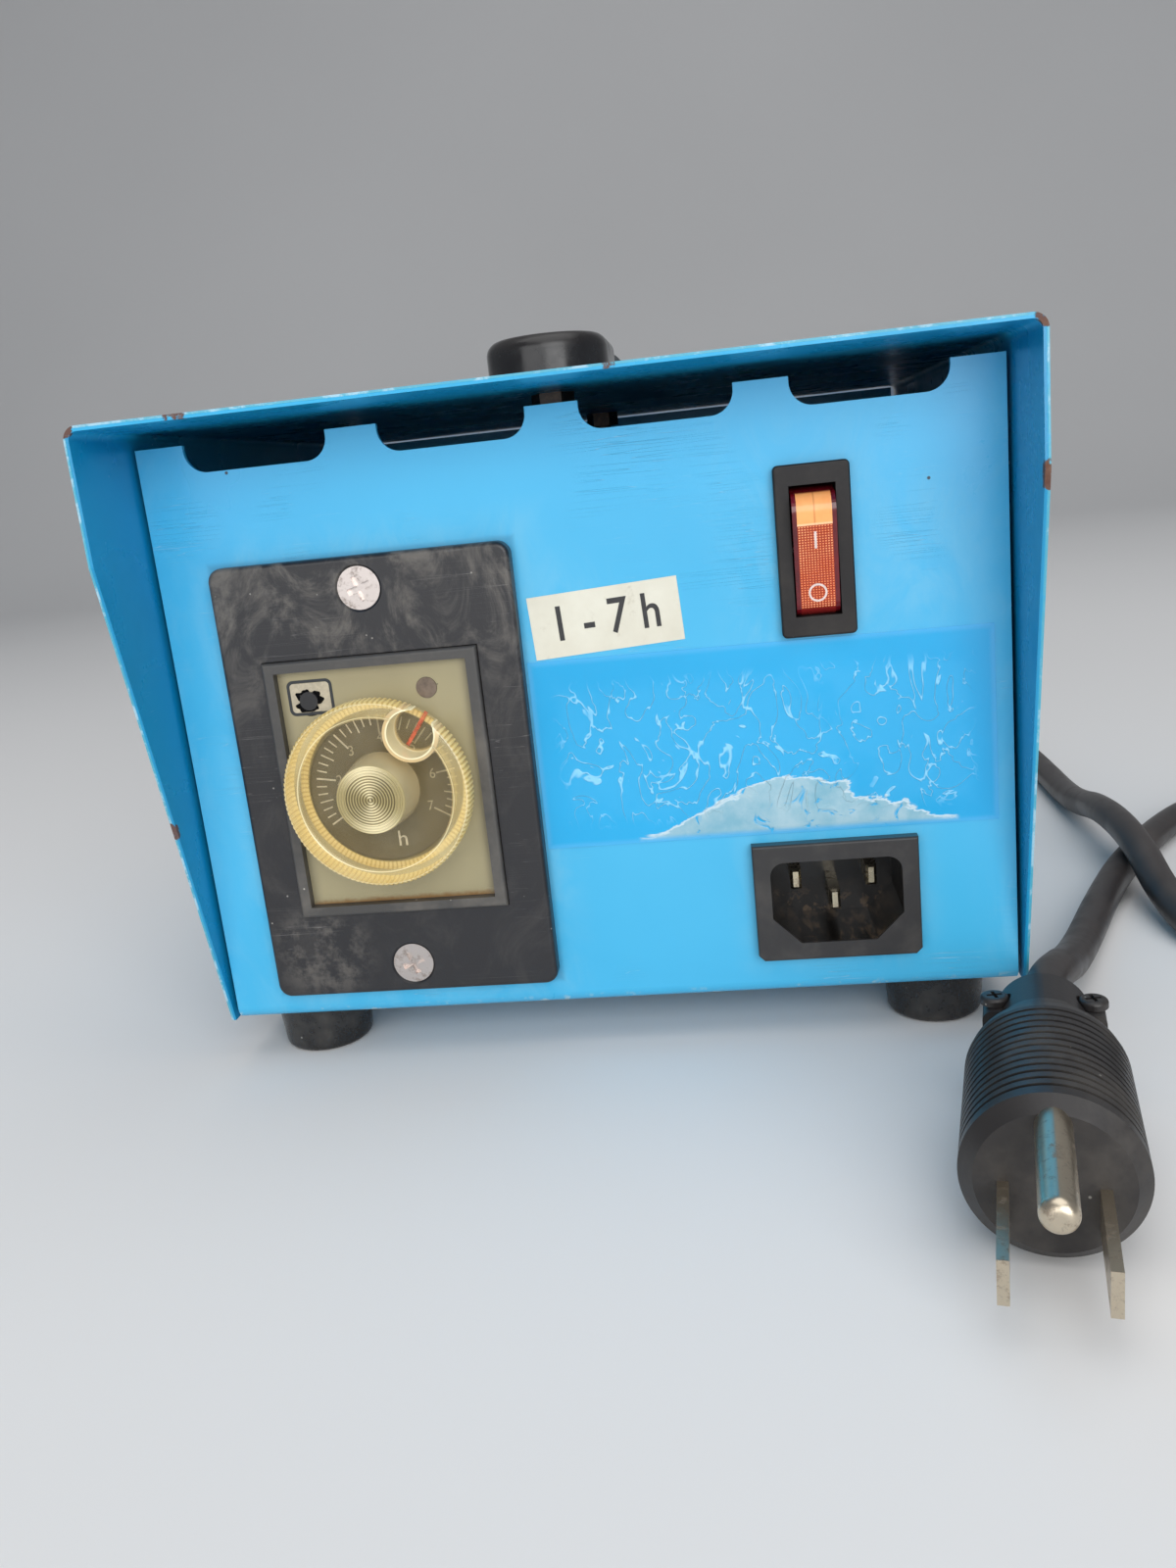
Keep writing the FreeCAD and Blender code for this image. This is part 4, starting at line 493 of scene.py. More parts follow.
def lens_orange():
    """Orange insert: a smooth, paler top end with a mould line, and a finely checked flat face with painted
    highlights on its studs and painted shade between them, a painted highlight along the ledge between the
    two and a faint painted glow.
    """
    s = Shade("rocker_orange")
    up = s.m("SUBTRACT", s.z, ROCKER[2])
    flat = s.times(s.fall(up, 4.3, 4.6), s.step(up, -9.9, -9.6))
    gx = s.m("ABSOLUTE", s.m("SINE", s.times(s.x, math.pi / 0.49)))
    gz = s.m("ABSOLUTE", s.m("SINE", s.times(s.z, math.pi / 0.43)))
    studs = s.times(gx, gz, flat)
    glow = s.step(s.noise(6.0, 2.0, 0.5), 0.35, 0.65)
    bright = s.mix(glow, (0.88, 0.24, 0.09), (1.0, 0.42, 0.19))
    # painted highlight and shade: the stud tops are drawn bright and the hollows between them dark red
    face = s.mix(s.step(studs, 0.25, 0.85), (0.40, 0.040, 0.014), bright)
    line = s.step(s.m("ABSOLUTE", s.m("SUBTRACT", s.x, ROCKER[0])), 0.05, 0.20, 0.5, 0.0)
    smooth = s.ramp(s.noise(4.0), (0.3, (0.86, 0.33, 0.10)), (0.7, (0.95, 0.42, 0.14)))
    top = s.mix(line, smooth, (0.45, 0.12, 0.03))
    colour = s.mix(s.fall(up, 4.3, 4.6), top, face)
    # painted highlight along the ledge where the top end meets the flat face
    ledge_highlight = s.step(s.m("ABSOLUTE", s.m("SUBTRACT", up, 4.6)), 0.05, 0.28, 0.7, 0.0)
    colour = s.mix(ledge_highlight, colour, (0.98, 0.62, 0.36))
    ends = s.most(s.fall(up, -9.9, -9.6), s.step(up, 9.6, 9.9))
    colour = s.tint(colour, ends, 0.85, (0.16, 0.008, 0.012))
    # the emission is a faint painted glow
    return s.done(colour, 0.22, s.bump(studs, 0.16), Emission_Color=colour, Emission_Strength=0.10)


def cap_red():
    """The deep red, glossy shell of the rocker."""
    s = Shade("rocker_red", spec=0.6)
    colour = s.ramp(s.noise(5.0), (0.3, (0.070, 0.002, 0.006)), (0.7, (0.16, 0.006, 0.012)))
    return s.done(colour, 0.14, s.bump(s.noise(0.8), 0.006))


def film_paint():
    """Worn printed film: glossy, a shade deeper than the enamel, wrinkled, with painted highlights along the
    crests of the wrinkles and pale residue low on it.
    """
    s = Shade("film_blue")
    colour = s.ramp(s.noise(30.0, 3.0, 0.5), (0.3, (0.008, 0.36, 0.70)), (0.7, (0.018, 0.40, 0.76)))
    ripple = s.noise(7.5, 2.0, 0.4, stretch=(1.0, 1, 0.8), warp=2.2, seed=(3, 0, 8))
    band = s.times(s.fall(s.rect(*FILM_CREASED), -3.0, 1.0), s.step(s.noise(16.0), 0.34, 0.48))
    lit_ridge = s.times(s.band(ripple, 0.5, 0.004, 0.022), band)
    colour = s.tint(colour, band, 0.16, (0.10, 0.50, 0.84))
    # painted highlight: the crests of the wrinkles are drawn pale
    colour = s.tint(colour, lit_ridge, 0.8, (0.30, 0.68, 0.94))
    torn = s.noise(8.0, 5.0, 0.6, stretch=(0.6, 1, 1.1), turn=(0, 8, 0), warp=0.8, seed=(6, 0, 1))
    middle = s.step(s.m("ABSOLUTE", s.m("SUBTRACT", s.x, FILM_TORN[0])), 4.0, 28.0, 8.0, 0.0)
    above = s.m("SUBTRACT", s.z, s.m("ADD", s.m("ADD", s.times(torn, 13.0), 35.8), middle))
    patch = s.fall(s.rect(*FILM_TORN), -1.5, 0.3)
    holes = s.step(s.noise(4.5, 4.0, 0.6, warp=0.8, seed=(7, 1, 2)), 0.34, 0.42)
    chalk = s.times(s.fall(above, -0.5, 0.5), patch, holes)
    shade = s.ramp(s.noise(5.0, 4.0, 0.6), (0.35, (0.24, 0.44, 0.50)), (0.65, (0.44, 0.58, 0.60)))
    colour = s.tint(colour, chalk, 0.8, shade)
    torn_line = s.times(s.band(above, 0.1, 0.1, 0.55), patch)
    colour = s.tint(colour, torn_line, 0.7, (0.66, 0.74, 0.74))
    rim = s.step(s.rect(*FILM), -1.2, -0.2)
    colour = s.tint(colour, rim, 0.5, (0.10, 0.45, 0.80))
    rough = s.m("ADD", s.times(chalk, 0.35), s.step(s.noise(9.0), 0.3, 0.7, 0.10, 0.22))
    height = s.m("ADD", s.times(lit_ridge, 0.8), s.times(chalk, 0.6))
    return s.done(colour, rough, s.bump(height, 0.14, s.bump(s.noise(5.0, 3.0, 0.5), 0.07)))


def label_paper():
    """Cream paper with a little grime."""
    s = Shade("label_cream")
    colour = s.ramp(s.noise(8.0, 4.0, 0.6), (0.3, (0.66, 0.63, 0.52)), (0.7, (0.74, 0.72, 0.61)))
    grime = s.step(s.noise(3.0, 4.0, 0.7, seed=(2, 2, 2)), 0.60, 0.78)
    colour = s.tint(colour, grime, 0.35, (0.35, 0.30, 0.20))
    return s.done(colour, 0.45, s.bump(s.noise(0.6), 0.012))


def cord_sheath():
    """Grey-brown rubber lead, with a dull bloom and faint lengthwise creases."""
    s = Shade("lead_sheath")
    bloom = s.step(s.noise(14.0, 4.0, 0.6), 0.35, 0.70)
    colour = s.mix(s.times(bloom, 0.6), (0.030, 0.026, 0.026), (0.072, 0.062, 0.058))
    return s.done(colour, s.step(bloom, 0, 1, 0.36, 0.52), s.bump(s.noise(0.5, 3.0, 0.6), 0.015))


def laminated():
    """Varnished laminations, as fine lines across the stack."""
    s = Shade("laminations", metal=0.6)
    lines = s.step(s.m("SINE", s.times(s.x, 2 * math.pi / 0.5)), -0.4, 0.4)
    colour = s.mix(lines, (0.05, 0.045, 0.04), (0.16, 0.15, 0.14))
    colour = s.mix(s.step(s.noise(7.0), 0.5, 0.7, 0.0, 0.5), colour, (0.20, 0.08, 0.03))
    return s.done(colour, 0.45, s.bump(lines, 0.05))


def wound_wire():
    """Enamelled copper wire, turn on turn, painted darker between the turns and lighter on their crests as
    shade and highlight.
    """
    s = Shade("winding", metal=0.3)
    turns = s.m("SINE", s.times(s.z, 2 * math.pi / 0.9))
    # painted shade between the turns and painted highlight on their crests
    colour = s.mix(s.step(turns, -0.8, 0.8), (0.22, 0.07, 0.02), (0.62, 0.27, 0.10))
    return s.done(colour, 0.3, s.bump(turns, 0.15))


MATERIALS = {
    "blue_enamel": panel_paint(),
    "zinc": plated_steel("screw_zinc"),
    "black_rubber": moulding("foot_rubber", (0.012, 0.012, 0.013), rough=0.24, dust=0.22, grain=0.8),
    "handle_plastic": moulding(
        "handle_gloss", (0.008, 0.007, 0.008), rough=0.13, dust=0.04, grain=1.2, depth=0.006,
    ),
    "strap": moulding("strap_rubber", (0.014, 0.014, 0.015), rough=0.4, dust=0.12, grain=0.6, depth=0.02),
    "plate_plastic": plate_plastic(),
    "timer_grey": moulding("timer_bezel", (0.060, 0.058, 0.056), rough=0.38, dust=0.28),
    "face_grey": timer_face_paint(),
    "scale_print": scale_print(),
    "clear_knob": clear_plastic(),
    "pointer_red": plain("pointer_red", (0.70, 0.13, 0.06), 0.3, size=1.2, Alpha=0.55),
    "shaft_nylon": plain("shaft_nylon", (0.55, 0.50, 0.36), 0.4),
    "pot_body": plain("pot_body", (0.05, 0.08, 0.16), 0.4),
    "board": plain("board_green", (0.06, 0.22, 0.09), 0.4, size=3.0),
    "relay": plain("relay_cream", (0.62, 0.58, 0.38), 0.3),
    "can_sleeve": plain("can_sleeve", (0.05, 0.07, 0.18), 0.28, size=9.0, depth=0.015),
    "button_black": moulding("button_black", (0.016, 0.016, 0.018), rough=0.3, dust=0.1),
    "lamp_amber": plain("lamp_smoke", (0.155, 0.115, 0.085), 0.16, size=2.5),
    "phenolic": moulding("base_phenolic", (0.030, 0.022, 0.020), rough=0.32, dust=0.08),
    "brass": plated_steel("contact_metal", (0.66, 0.58, 0.42), 0.25),
    "switch_black": moulding(
        "switch_black", (0.026, 0.025, 0.025), rough=0.44, dust=0.10, grain=0.5, depth=0.02,
    ),
    "rocker_red": cap_red(),
    "rocker_orange": lens_orange(),
    "lamp_glass": plain("lamp_glass", (0.7, 0.62, 0.5), 0.1, Alpha=0.6),
    "label_cream": label_paper(),
    "film_blue": film_paint(),
    "laminations": laminated(),
    "bobbin": plain("bobbin", (0.60, 0.56, 0.44), 0.45),
    "winding": wound_wire(),
    "bracket_steel": plated_steel("bracket_steel", (0.52, 0.52, 0.50), 0.38),
    "rectifier_case": moulding("rectifier_case", (0.02, 0.02, 0.02), rough=0.35),
    "strip_black": moulding("strip_brown", (0.035, 0.024, 0.018), rough=0.4),
    "fuse_glass": plain("fuse_glass", (0.75, 0.8, 0.8), 0.08, Alpha=0.45),
    "wire_sleeve": moulding("wire_sleeve", (0.02, 0.02, 0.02), rough=0.5),
    "cord_rubber": cord_sheath(),
    "plug_rubber": moulding(
        "plug_rubber", (0.020, 0.018, 0.018), rough=0.36, dust=0.14, grain=0.7, depth=0.02,
    ),
    "pin_metal": plated_steel("plug_pin_metal", (0.60, 0.52, 0.40), 0.3),
}
# nodes that don't look like the rest of their slot
SPECIAL = {
    "top_cover": cover_paint(),
    "outlet_body": outlet_plastic(),
    # painted shade: the handle's nut and screw, unlit under the hood, get a near-black copy of the plating
    "handle_nuts": plated_steel("handle_nut_shaded", (0.09, 0.08, 0.075), 0.5),
    "handle_screws": plated_steel("handle_screw_shaded", (0.12, 0.11, 0.10), 0.5),
    "rocker_housing": moulding("rocker_bezel", (0.011, 0.0095, 0.010), rough=0.42, dust=0.10, spec=0.3),
}


def dress_nodes():
    """Gives every CAD node the material of its slot, or its own."""
    slots = {sp["node"]: sp["material_slot"] for sp in frame["record"]["subparts"]}
    for node, obj in frame["nodes"].items():
        material = SPECIAL.get(node) or MATERIALS[slots[node]]
        obj.data.materials.clear()
        obj.data.materials.append(material)


dress_nodes()


# ---------------------------------------------------------------- mesh helpers
def mesh_object(name, bm, smooth=True):
    """Makes an object of a bmesh given in millimetres."""
    bmesh.ops.scale(bm, vec=(MM, MM, MM), verts=bm.verts)
    bmesh.ops.recalc_face_normals(bm, faces=bm.faces)
    mesh = bpy.data.meshes.new(name)
    bm.to_mesh(mesh)
    bm.free()
    for face in mesh.polygons:
        face.use_smooth = smooth
    obj = bpy.data.objects.new(name, mesh)
    bpy.context.collection.objects.link(obj)
    return obj


def finish_piece(name, bm, body, slot_name, smooth=True, material=None):
    """Makes a piece of a bmesh given in millimetres, riding on a body."""
    obj = mesh_object(name, bm, smooth)
    obj.data.materials.append(material or MATERIALS[slot_name])
    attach(obj, body)
    return obj


def skin(bm, p, q):
    """Joins two closed rows of points with a band of faces."""
    for k in range(len(p)):
        n = (k + 1) % len(p)
        bm.faces.new((p[k], p[n], q[n], q[k]))


def along_y(x, z):
    """A frame whose local X runs backwards, along Y, through a place on the panel."""
    return Matrix.Translation((x, 0, z)) @ Matrix.Rotation(math.pi / 2, 4, "Z")


def lathe(bm, profile, place, segments, knurl=None):
    """Turns (along, radius) points about the local X axis; knurl(k, j) gives a change of radius."""
    rings = []
    for j, (a, r) in enumerate(profile):
        if r < 1e-6:
            rings.append([bm.verts.new(place @ Vector((a, 0, 0)))])
            continue
        ring = []
        for k in range(segments):
            rr = r + (knurl(k, j) if knurl else 0.0)
            t = 2 * math.pi * k / segments
            ring.append(bm.verts.new(place @ Vector((a, rr * math.cos(t), rr * math.sin(t)))))
        rings.append(ring)
    for p, q in zip(rings, rings[1:]):
        if len(p) > 1 and len(q) > 1:
            skin(bm, p, q)
            continue
        for k in range(segments):
            n = (k + 1) % segments
            bm.faces.new((p[0], q[k], q[n]) if len(p) == 1 else (p[k], p[n], q[0]))


def bar(bm, centre, size, turn=0.0):
    """A thin box turned about Y, for printed marks."""
    lean = Matrix.Rotation(math.radians(turn), 4, "Y")
    place = Matrix.Translation(centre) @ lean @ Matrix.Diagonal((*size, 1.0))
    bmesh.ops.create_cube(bm, size=1.0, matrix=place)


def bevelled(obj, width):
    """Rounds an object's sharp edges."""
    mod = obj.modifiers.new("soft edges", "BEVEL")
    mod.width, mod.segments = width * MM, 2
    mod.limit_method, mod.angle_limit = "ANGLE", math.radians(35)
    return obj


CAPITAL = 0.70  # height of a capital, as a share of the font's size


def lettering(name, text, centre, height, body, material, turn=0.0, width=1.0, bold=0.0):
    """Flat printed characters that face the front; centre is the middle of the text, in millimetres."""
    data = bpy.data.curves.new(name, "FONT")
    data.body, data.size = text, height * MM / CAPITAL
    data.align_x = data.align_y = "CENTER"
    data.extrude, data.offset = 0.02 * MM, bold * MM
    obj = bpy.data.objects.new(name, data)
    bpy.context.collection.objects.link(obj)
    face = Matrix.Rotation(math.pi / 2, 4, "X")
    lean = Matrix.Rotation(math.radians(turn), 4, "Y")
    stretch = Matrix.Diagonal((width, 1, 1, 1))
    obj.matrix_world = Matrix.Translation(Vector(centre) * MM) @ lean @ face @ stretch
    data.materials.append(material)
    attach(obj, body)


# ---------------------------------------------------------------- mains lead
LEAD_OUT = [
    (38, 107, 26), (38, 122, 26), (39, 141, 21), (46, 160, 13), (61, 174.5, 6), (82, 179, 3.8),
    (102.5, 172.5, 3.6), (116.5, 156, 3.6), (121, 134, 3.6), (121.4, 104, 3.6), (120.2, 64, 4.2),
    (119.4, 34, 11.2), (119, 5, 11.2), (118.2, -16, 5.4), (119, -37, 3.6), (132, -59, 3.6), (156, -71.7, 3.6),
]
LEAD_IN = [
    (222, -8, 18.3), (221, 13, 11), (216, 33, 3.8), (204.5, 52, 3.6), (185.5, 63, 3.6), (163.5, 62, 3.6),
    (141, 46, 3.6), (118.5, 12, 3.6), (106, -13, 3.6), (95.5, -37, 3.8), (88.5, -54, 6.5),
    (82.1, -68.5, 11.4), (77.08, -79.22, 12.4), (75, -89, 12.4),
]
COIL_AT = (184.0, -30.0)
COIL_TURNS = 4.25
TURN_STEPS = 18  # control points to a turn of the coil
CHANGE_STEPS = 4  # the last steps of a turn, in which it changes over to the next pass
# (radius, height) of each pass of the coil, bottom outside first
PASSES = [(41.7, 3.6), (34.3, 3.6), (34.3, 11.0), (41.7, 11.0), (38.0, 17.6)]
# where each pass is half way to the next one
CROSSINGS = [(38.6, 3.6), (32.4, 7.3), (38.6, 11.0), (42.2, 17.2)]


def coil_points():
    """Control points of the coil's turns, each one changing over to the next pass near its end."""
    points = []
    step = math.tau / TURN_STEPS
    grow = 1 / math.cos(step / 2) ** 0.5  # the curve runs inside its control points
    for k in range(int(COIL_TURNS * TURN_STEPS) + 1):
        turn, part = divmod(k, TURN_STEPS)
        r, z = PASSES[turn]
        share = (part - TURN_STEPS + CHANGE_STEPS) / CHANGE_STEPS
        if share > 0 and turn + 1 < len(PASSES):
            nr, nz = PASSES[turn + 1]
            cr, cz = CROSSINGS[turn]
            if share < 0.5:
                r, z = r + (cr - r) * share * 2, z + (cz - z) * share * 2
            else:
                r, z = cr + (nr - cr) * (share * 2 - 1), cz + (nz - cz) * (share * 2 - 1)
        a = step * k - math.pi / 2
        points.append((COIL_AT[0] + r * grow * math.cos(a), COIL_AT[1] + r * grow * math.sin(a), z))
    return points


def make_lead():
    """The lead from its boot, through the coil, to the plug."""
    data = bpy.data.curves.new("mains_lead", "CURVE")
    data.dimensions = "3D"
    data.bevel_depth = LEAD / 2 * MM
    data.bevel_resolution = 6
    data.resolution_u = 8
    data.use_fill_caps = True
    points = LEAD_OUT + coil_points() + LEAD_IN
    spline = data.splines.new("NURBS")
    spline.points.add(len(points) - 1)
    for p, co in zip(spline.points, points):
        p.co = (*[c * MM for c in co], 1.0)
    spline.order_u = 3
    spline.use_endpoint_u = True
    obj = bpy.data.objects.new("mains_lead", data)
    bpy.context.collection.objects.link(obj)
    data.materials.append(MATERIALS["cord_rubber"])
    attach(obj, "case")
    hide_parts("lead_out", "lead_in", "lead_coil")
    return obj


def make_strain_relief():
    """Flanged bush with a tapered tail of soft ribs, round the lead where it leaves the rear panel."""
    bm = bmesh.new()
    place = Matrix.Translation((0, Y_REAR, 0)) @ along_y(*LEAD_EXIT)
    flange = [(0.0, 7.8), (0.0, 10.0), (0.5, 10.4), (2.0, 10.4), (2.5, 9.9), (2.5, 7.2)]
    profile = [(-5, 0), (-5, 7.3), (-4.4, 7.8)] + flange
    ribs = 7
    for k in range(ribs):
        a = 4.0 + 3.5 * k
        r = 7.0 - 2.0 * k / (ribs - 1)
        profile += [(a, r), (a + 1.9, r - 0.15), (a + 2.3, r - 1.0), (a + 3.1, r - 1.05)]
    profile += [(29.3, 4.9), (30.0, 4.5), (30.0, 0)]
    lathe(bm, profile, place, 64)
    obj = finish_piece("strain_relief_boot", bm, "case", "plug_rubber")
    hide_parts("strain_relief")
    return bevelled(obj, 0.25)


def make_tie():
    """The band that holds the coil together."""
    angle = math.radians(155)
    ring = [
        (-8.1, 7.3), (-8.1, 1.4), (-6.4, 0.2), (0, 0.1), (6.4, 0.2), (8.1, 1.4),
        (8.1, 7.3), (8.1, 13.2), (6.4, 14.7), (0, 15.2), (-6.4, 14.7), (-8.1, 13.2),
    ]
    bm = bmesh.new()
    out = Vector((math.cos(angle), math.sin(angle), 0))
    along = Vector((-math.sin(angle), math.cos(angle), 0))
    centre = Vector((*COIL_AT, 0)) + out * 38
    rows = []
    for grow in (1.0, 1.09):
        for side in (-3.5, 3.5):
            middle = centre + along * side
            rows.append([bm.verts.new(middle + out * r * grow + Vector((0, 0, z))) for r, z in ring])
    for a, b in ((0, 1), (3, 2), (1, 3), (2, 0)):
        skin(bm, rows[a], rows[b])
    obj = finish_piece("coil_tie", bm, "case", "strap")
    return bevelled(obj, 0.3)


LEAD_OBJ = make_lead()
BOOT = make_strain_relief()
TIE = make_tie()


# ---------------------------------------------------------------- knob and dial
def boolean(target, tool, kind):
    """Changes the target's mesh with a second solid."""
    mod = target.modifiers.new(kind, "BOOLEAN")
    mod.operation, mod.object, mod.solver = kind, tool, "EXACT"
    depsgraph = bpy.context.evaluated_depsgraph_get()
    mesh = bpy.data.meshes.new_from_object(target.evaluated_get(depsgraph))
    target.modifiers.clear()
    old = target.data
    target.data = mesh
    bpy.data.meshes.remove(old)


def make_knob():
    """The dished knob, with a knurled rim, drawn from the same sizes as its CAD solid."""
    axis = along_y(*DIAL)
    front, back, floor, boss = [Y_PANEL - out for out in (11.2, 4.0, 5.4, 14.2)]
    profile = [
        (back, 0), (back, 15.6), (back - 0.4, 16.0),
        (front + 4.5, 17.0), (front + 4.2, 17.2), (front + 0.9, 17.2), (front + 0.3, 16.9), (front, 16.3),
        (front, 14.6), (front + 0.4, 14.0), (floor - 0.8, 13.9), (floor - 0.2, 13.6), (floor, 13.0),
        (floor, 7.4), (floor - 0.4, 6.95), (boss + 0.9, 6.4), (boss + 0.3, 6.25), (boss, 5.8), (boss, 0),
    ]
    groove = {3: 0.12, 4: 0.24, 5: 0.24, 6: 0.12}  # its depth at the profile's points

    def knurl(k, j):
        return -groove.get(j, 0.0) if k % 3 == 0 else 0.0

    bm = bmesh.new()
    lathe(bm, profile, axis, 3 * KNURLS, knurl)
    obj = finish_piece("knob_clear", bm, "dial", "clear_knob")
    cup = along_y(*CUP_AT)
    hole = [(front - 2, 0), (front - 2, CUP_R), (floor - 0.3, CUP_R), (floor, 4.0), (floor, 0)]
    wall = [(front + 0.4, 0), (front + 0.4, 5.1), (floor + 0.3, 5.3), (floor + 0.3, 0)]
    inside = [(front - 3, 0), (front - 3, 16.6), (back, 16.6), (back, 0)]
    tools = []
    shapes = {"cut": (hole, cup, 64), "wall": (wall, cup, 64), "keep": (inside, axis, 96)}
    for name, shape in shapes.items():
        bm = bmesh.new()
        lathe(bm, *shape)
        tools.append(mesh_object(name, bm))
    cut, wall_obj, keep = tools
    boolean(wall_obj, keep, "INTERSECT")
    boolean(obj, wall_obj, "UNION")
    boolean(obj, cut, "DIFFERENCE")
    for tool in tools:
        bpy.data.objects.remove(tool, do_unlink=True)
    obj.data.name = "knob_clear"
    obj.data.materials.clear()
    obj.data.materials.append(MATERIALS["clear_knob"])
    for face in obj.data.polygons:
        face.use_smooth = True
    obj.data.set_sharp_from_angle(angle=math.radians(32))
    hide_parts("dial_knob")


def make_scale():
    """Ticks every ten minutes and the hours, printed on the dark disc under the knob."""
    # One white print in a painted-lit and a painted-shaded copy: the left ticks and the unit are brighter, as
    # a painted reflection on the left under the knob, and the right ticks and the numerals darker.
    bright = printed("scale_white", (0.60, 0.55, 0.42), 0.3)
    dim = printed("scale_white_dim", (0.34, 0.31, 0.22), 0.3)
    halves = (("scale_ticks_left", bright, range(6, 24)), ("scale_ticks_right", dim, range(24, 43)))
    for name, ink, ticks in halves:
        bm = bmesh.new()
        for k in ticks:
            deg = HOUR_DEG * (k / 6 - NOON)
            long = 3.7 if k % 6 == 0 else 2.6 if k % 6 == 3 else 1.9
            wide = 0.32 if k % 6 == 0 else 0.25
            mid, a = 13.4 - long / 2, math.radians(deg)
            at = (DIAL[0] + mid * math.sin(a), SCALE_Y, DIAL[1] + mid * math.cos(a))
            bar(bm, at, (wide, 0.06, long), deg)
        finish_piece(name, bm, "case", "scale_print", smooth=False, material=ink)
    for hour in range(1, 8):
        a = math.radians(HOUR_DEG * (hour - NOON))
        at = (DIAL[0] + 9.0 * math.sin(a), SCALE_Y - 0.02, DIAL[1] + 9.0 * math.cos(a))
        lettering(f"hour_{hour}", str(hour), at, 1.9, "case", dim, width=0.9)
    at = (DIAL[0] + 1.6, SCALE_Y - 0.02, DIAL[1] - 10.6)
    lettering("hour_unit", "h", at, 3.0, "case", bright)


def rounded(w, h, r):
    """Points of a rounded rectangle about the origin, seven to a corner."""
    points = []
    for cx, cz, start in ((1, 1, 0), (-1, 1, 90), (-1, -1, 180), (1, -1, 270)):
        for k in range(7):
            t = math.radians(start + 15 * k)
            points.append((cx * (w / 2 - r) + r * math.cos(t), cz * (h / 2 - r) + r * math.sin(t)))
    return points


def make_face_print():
    """The printed frame round the reset hole, the pale patch that it encloses, and the hole's dark inside."""
    ink = printed("face_ink", (0.022, 0.026, 0.03), 0.2)
    patch = printed("face_patch", (0.52, 0.46, 0.34), 0.2)
    x, z = DIAL[0] - 12.1, DIAL[1] + 17.4
    y = Y_PANEL - 2.4
    bm = bmesh.new()
    rows = []
    for line in (rounded(8.6, 6.6, 1.2), rounded(7.5, 5.5, 0.8)):
        for depth in (y - 0.05, y + 0.02):
            rows.append([bm.verts.new((x + px, depth, z + pz)) for px, pz in line])
    for a, b in ((0, 2), (1, 3), (0, 1), (2, 3)):
        skin(bm, rows[a], rows[b])
    finish_piece("reset_frame", bm, "case", "face_grey", smooth=False, material=ink)
    bm = bmesh.new()
    rx, rz = DIAL[0] - 12.4, DIAL[1] + 16.8
    hole, rim = [], []
    for k in range(48):
        t = 2 * math.pi * k / 48
        ragged = 2.35 + 0.35 * math.sin(3 * t + 0.6) + 0.28 * math.sin(7 * t + 2.0) + 0.16 * math.sin(13 * t)
        if 3.3 < t < 4.3:
            ragged += 0.7
        hole.append(bm.verts.new((rx + ragged * math.cos(t), y - 0.03, rz + 0.9 * ragged * math.sin(t))))
        px = max(-3.7, min(3.7, 9 * math.cos(t)))
        pz = max(-2.7, min(2.7, 9 * math.sin(t)))
        rim.append(bm.verts.new((x + px, y - 0.03, z + pz)))
    skin(bm, hole, rim)
    finish_piece("reset_patch", bm, "case", "face_grey", smooth=False, material=patch)
    bm = bmesh.new()
    lathe(bm, [(y - 0.015, 0), (y - 0.015, 2.9), (y + 0.02, 2.9)], along_y(rx, rz), 40)
    hole_dark = moulding("reset_hole_shade", (0.0015, 0.0015, 0.002), rough=0.7, dust=0.02, spec=0.1)
    finish_piece("reset_hole_dark", bm, "case", "face_grey", smooth=False, material=hole_dark)


make_knob()
make_scale()
make_face_print()


# ---------------------------------------------------------------- rocker marks and label
def make_rocker_marks():
    """The marks on the rocker's flat face, a bar above and a ring below, placed from its pivot and tilted."""
    white = printed("rocker_white", (0.80, 0.66, 0.62), 0.15)
    tilt = Matrix.Translation(ROCKER) @ Matrix.Rotation(math.radians(8.0), 4, "X")
    bm = bmesh.new()
    bar(bm, (0, -7.42, 3.0), (0.42, 0.08, 2.9))
    rows = []
    for r, y in ((1.60, -7.46), (1.60, -7.38), (1.25, -7.38), (1.25, -7.46)):
        turns = [2 * math.pi * k / 40 for k in range(40)]
        rows.append([bm.verts.new((r * math.cos(t), y, -6.1 + r * math.sin(t))) for t in turns])
    for k in range(4):
        skin(bm, rows[k], rows[(k + 1) % 4])
    bmesh.ops.transform(bm, matrix=tilt, verts=bm.verts)
    finish_piece("rocker_marks", bm, "rocker", "rocker_orange", smooth=False, material=white)


def make_label_text():
    """The generic range of hours on the cream label."""
    ink = printed("label_ink", (0.018, 0.018, 0.02), 0.3)
    at = (5.8, Y_PANEL - 0.18, 83.0)
    lettering("label_range", "1 - 7 h", at, 6.2, "case", ink, turn=-3.4, width=0.86, bold=0.08)


make_rocker_marks()
make_label_text()


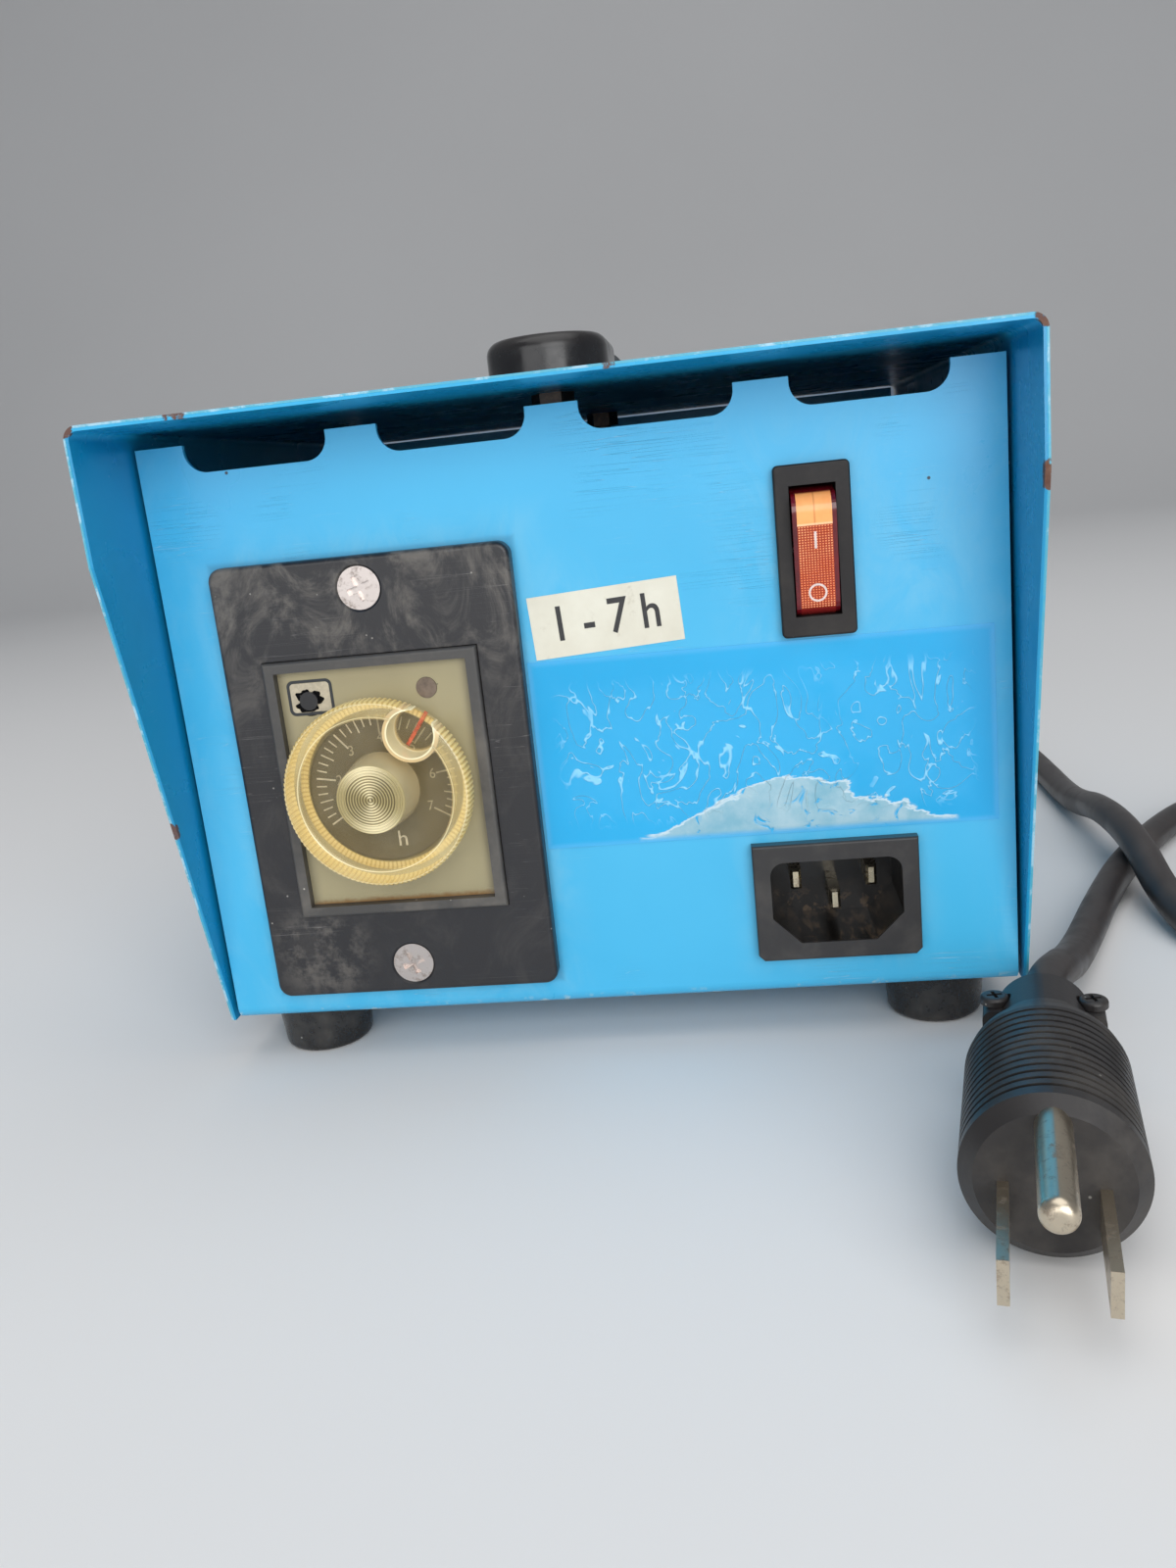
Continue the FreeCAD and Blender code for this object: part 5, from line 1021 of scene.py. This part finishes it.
# ---------------------------------------------------------------- strap
def make_strap():
    """The two bending ends of the strap, from the caps to the grip."""
    half, rise = 53.0, 4.2  # of the strap's arc
    radius = (half**2 + rise**2) / (2 * rise)
    centre = Vector((-2.0, 0, Z_COVER + 6.5 - radius))
    section = [
        (-9.3, -0.9), (-8.8, -1.4), (-8.0, -1.6), (8.0, -1.6), (8.8, -1.4), (9.3, -0.9),
        (9.3, 0.9), (8.8, 1.4), (8.0, 1.6), (3.2, 1.6), (2.6, 1.3),
        (-2.6, 1.3), (-3.2, 1.6), (-8.0, 1.6), (-8.8, 1.4), (-9.3, 0.9),
    ]
    steps = 24
    runs = [
        ("strap_front_end", "strap_front_run", -half, -22.0),
        ("strap_rear_end", "strap_rear_run", 22.0, half),
    ]
    for name, node, y0, y1 in runs:
        bm = bmesh.new()
        rows = []
        for k in range(steps + 1):
            t = math.asin((y0 + (y1 - y0) * k / steps) / radius)
            up = Vector((0, math.sin(t), math.cos(t)))
            rows.append([bm.verts.new(centre + Vector((x, 0, 0)) + up * (radius + h)) for x, h in section])
        for p, q in zip(rows, rows[1:]):
            skin(bm, p, q)
        bm.faces.new(rows[0])
        bm.faces.new(rows[-1][::-1])
        obj = mesh_object(name, bm)
        obj.data.set_sharp_from_angle(angle=math.radians(40))
        obj.data.materials.append(MATERIALS["strap"])
        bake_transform(obj)
        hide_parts(node)


make_strap()


# ---------------------------------------------------------------- floor and light
def make_stage():
    """A pale floor that curves up into a wall far behind the object."""
    bm = bmesh.new()
    radius, front, back, half, top = 1.2, -4.0, 2.6, 5.0, 4.0  # metres
    line = [(front, 0.0), (back - radius, 0.0)]
    for k in range(1, 17):
        t = math.pi / 2 * k / 16
        line.append((back - radius + radius * math.sin(t), radius - radius * math.cos(t)))
    line.append((back, top))
    rows = [[bm.verts.new((x, y, z)) for y, z in line] for x in (-half, half)]
    for k in range(len(line) - 1):
        bm.faces.new((rows[0][k], rows[1][k], rows[1][k + 1], rows[0][k + 1]))
    mesh = bpy.data.meshes.new("floor")
    bm.to_mesh(mesh)
    bm.free()
    for face in mesh.polygons:
        face.use_smooth = True
    floor = bpy.data.objects.new("floor", mesh)
    bpy.context.collection.objects.link(floor)
    s = Shade("floor_pale")
    colour = s.ramp(s.noise(900.0, 2.0, 0.5), (0.3, (0.74, 0.74, 0.74)), (0.7, (0.78, 0.78, 0.78)))
    mesh.materials.append(s.done(colour, 0.8))


def area_light(name, at, aim, size, power):
    """A rectangular lamp aimed at a point, in metres and watts."""
    data = bpy.data.lights.new(name, "AREA")
    data.shape, data.size, data.size_y = "RECTANGLE", size[0], size[1]
    data.energy = power
    obj = bpy.data.objects.new(name, data)
    bpy.context.collection.objects.link(obj)
    obj.location = at
    obj.rotation_euler = (Vector(aim) - Vector(at)).to_track_quat("-Z", "Y").to_euler()


make_stage()
area_light("key", (0.55, -1.45, 0.6), (0, 0, 0.06), (1.1, 1.1), 16)
area_light("front_fill", (-0.6, -1.6, 0.5), (0, 0, 0.06), (1.2, 0.9), 6.5)
area_light("top", (0.1, -0.35, 1.5), (0, -0.2, 0), (1.6, 1.6), 11)
world = bpy.data.worlds.new("studio")
bpy.context.scene.world = world
world.use_nodes = True
background = world.node_tree.nodes["Background"]
background.inputs["Color"].default_value = (0.92, 0.95, 1.0, 1.0)
background.inputs["Strength"].default_value = 0.28
bpy.context.scene.view_settings.view_transform = "Standard"
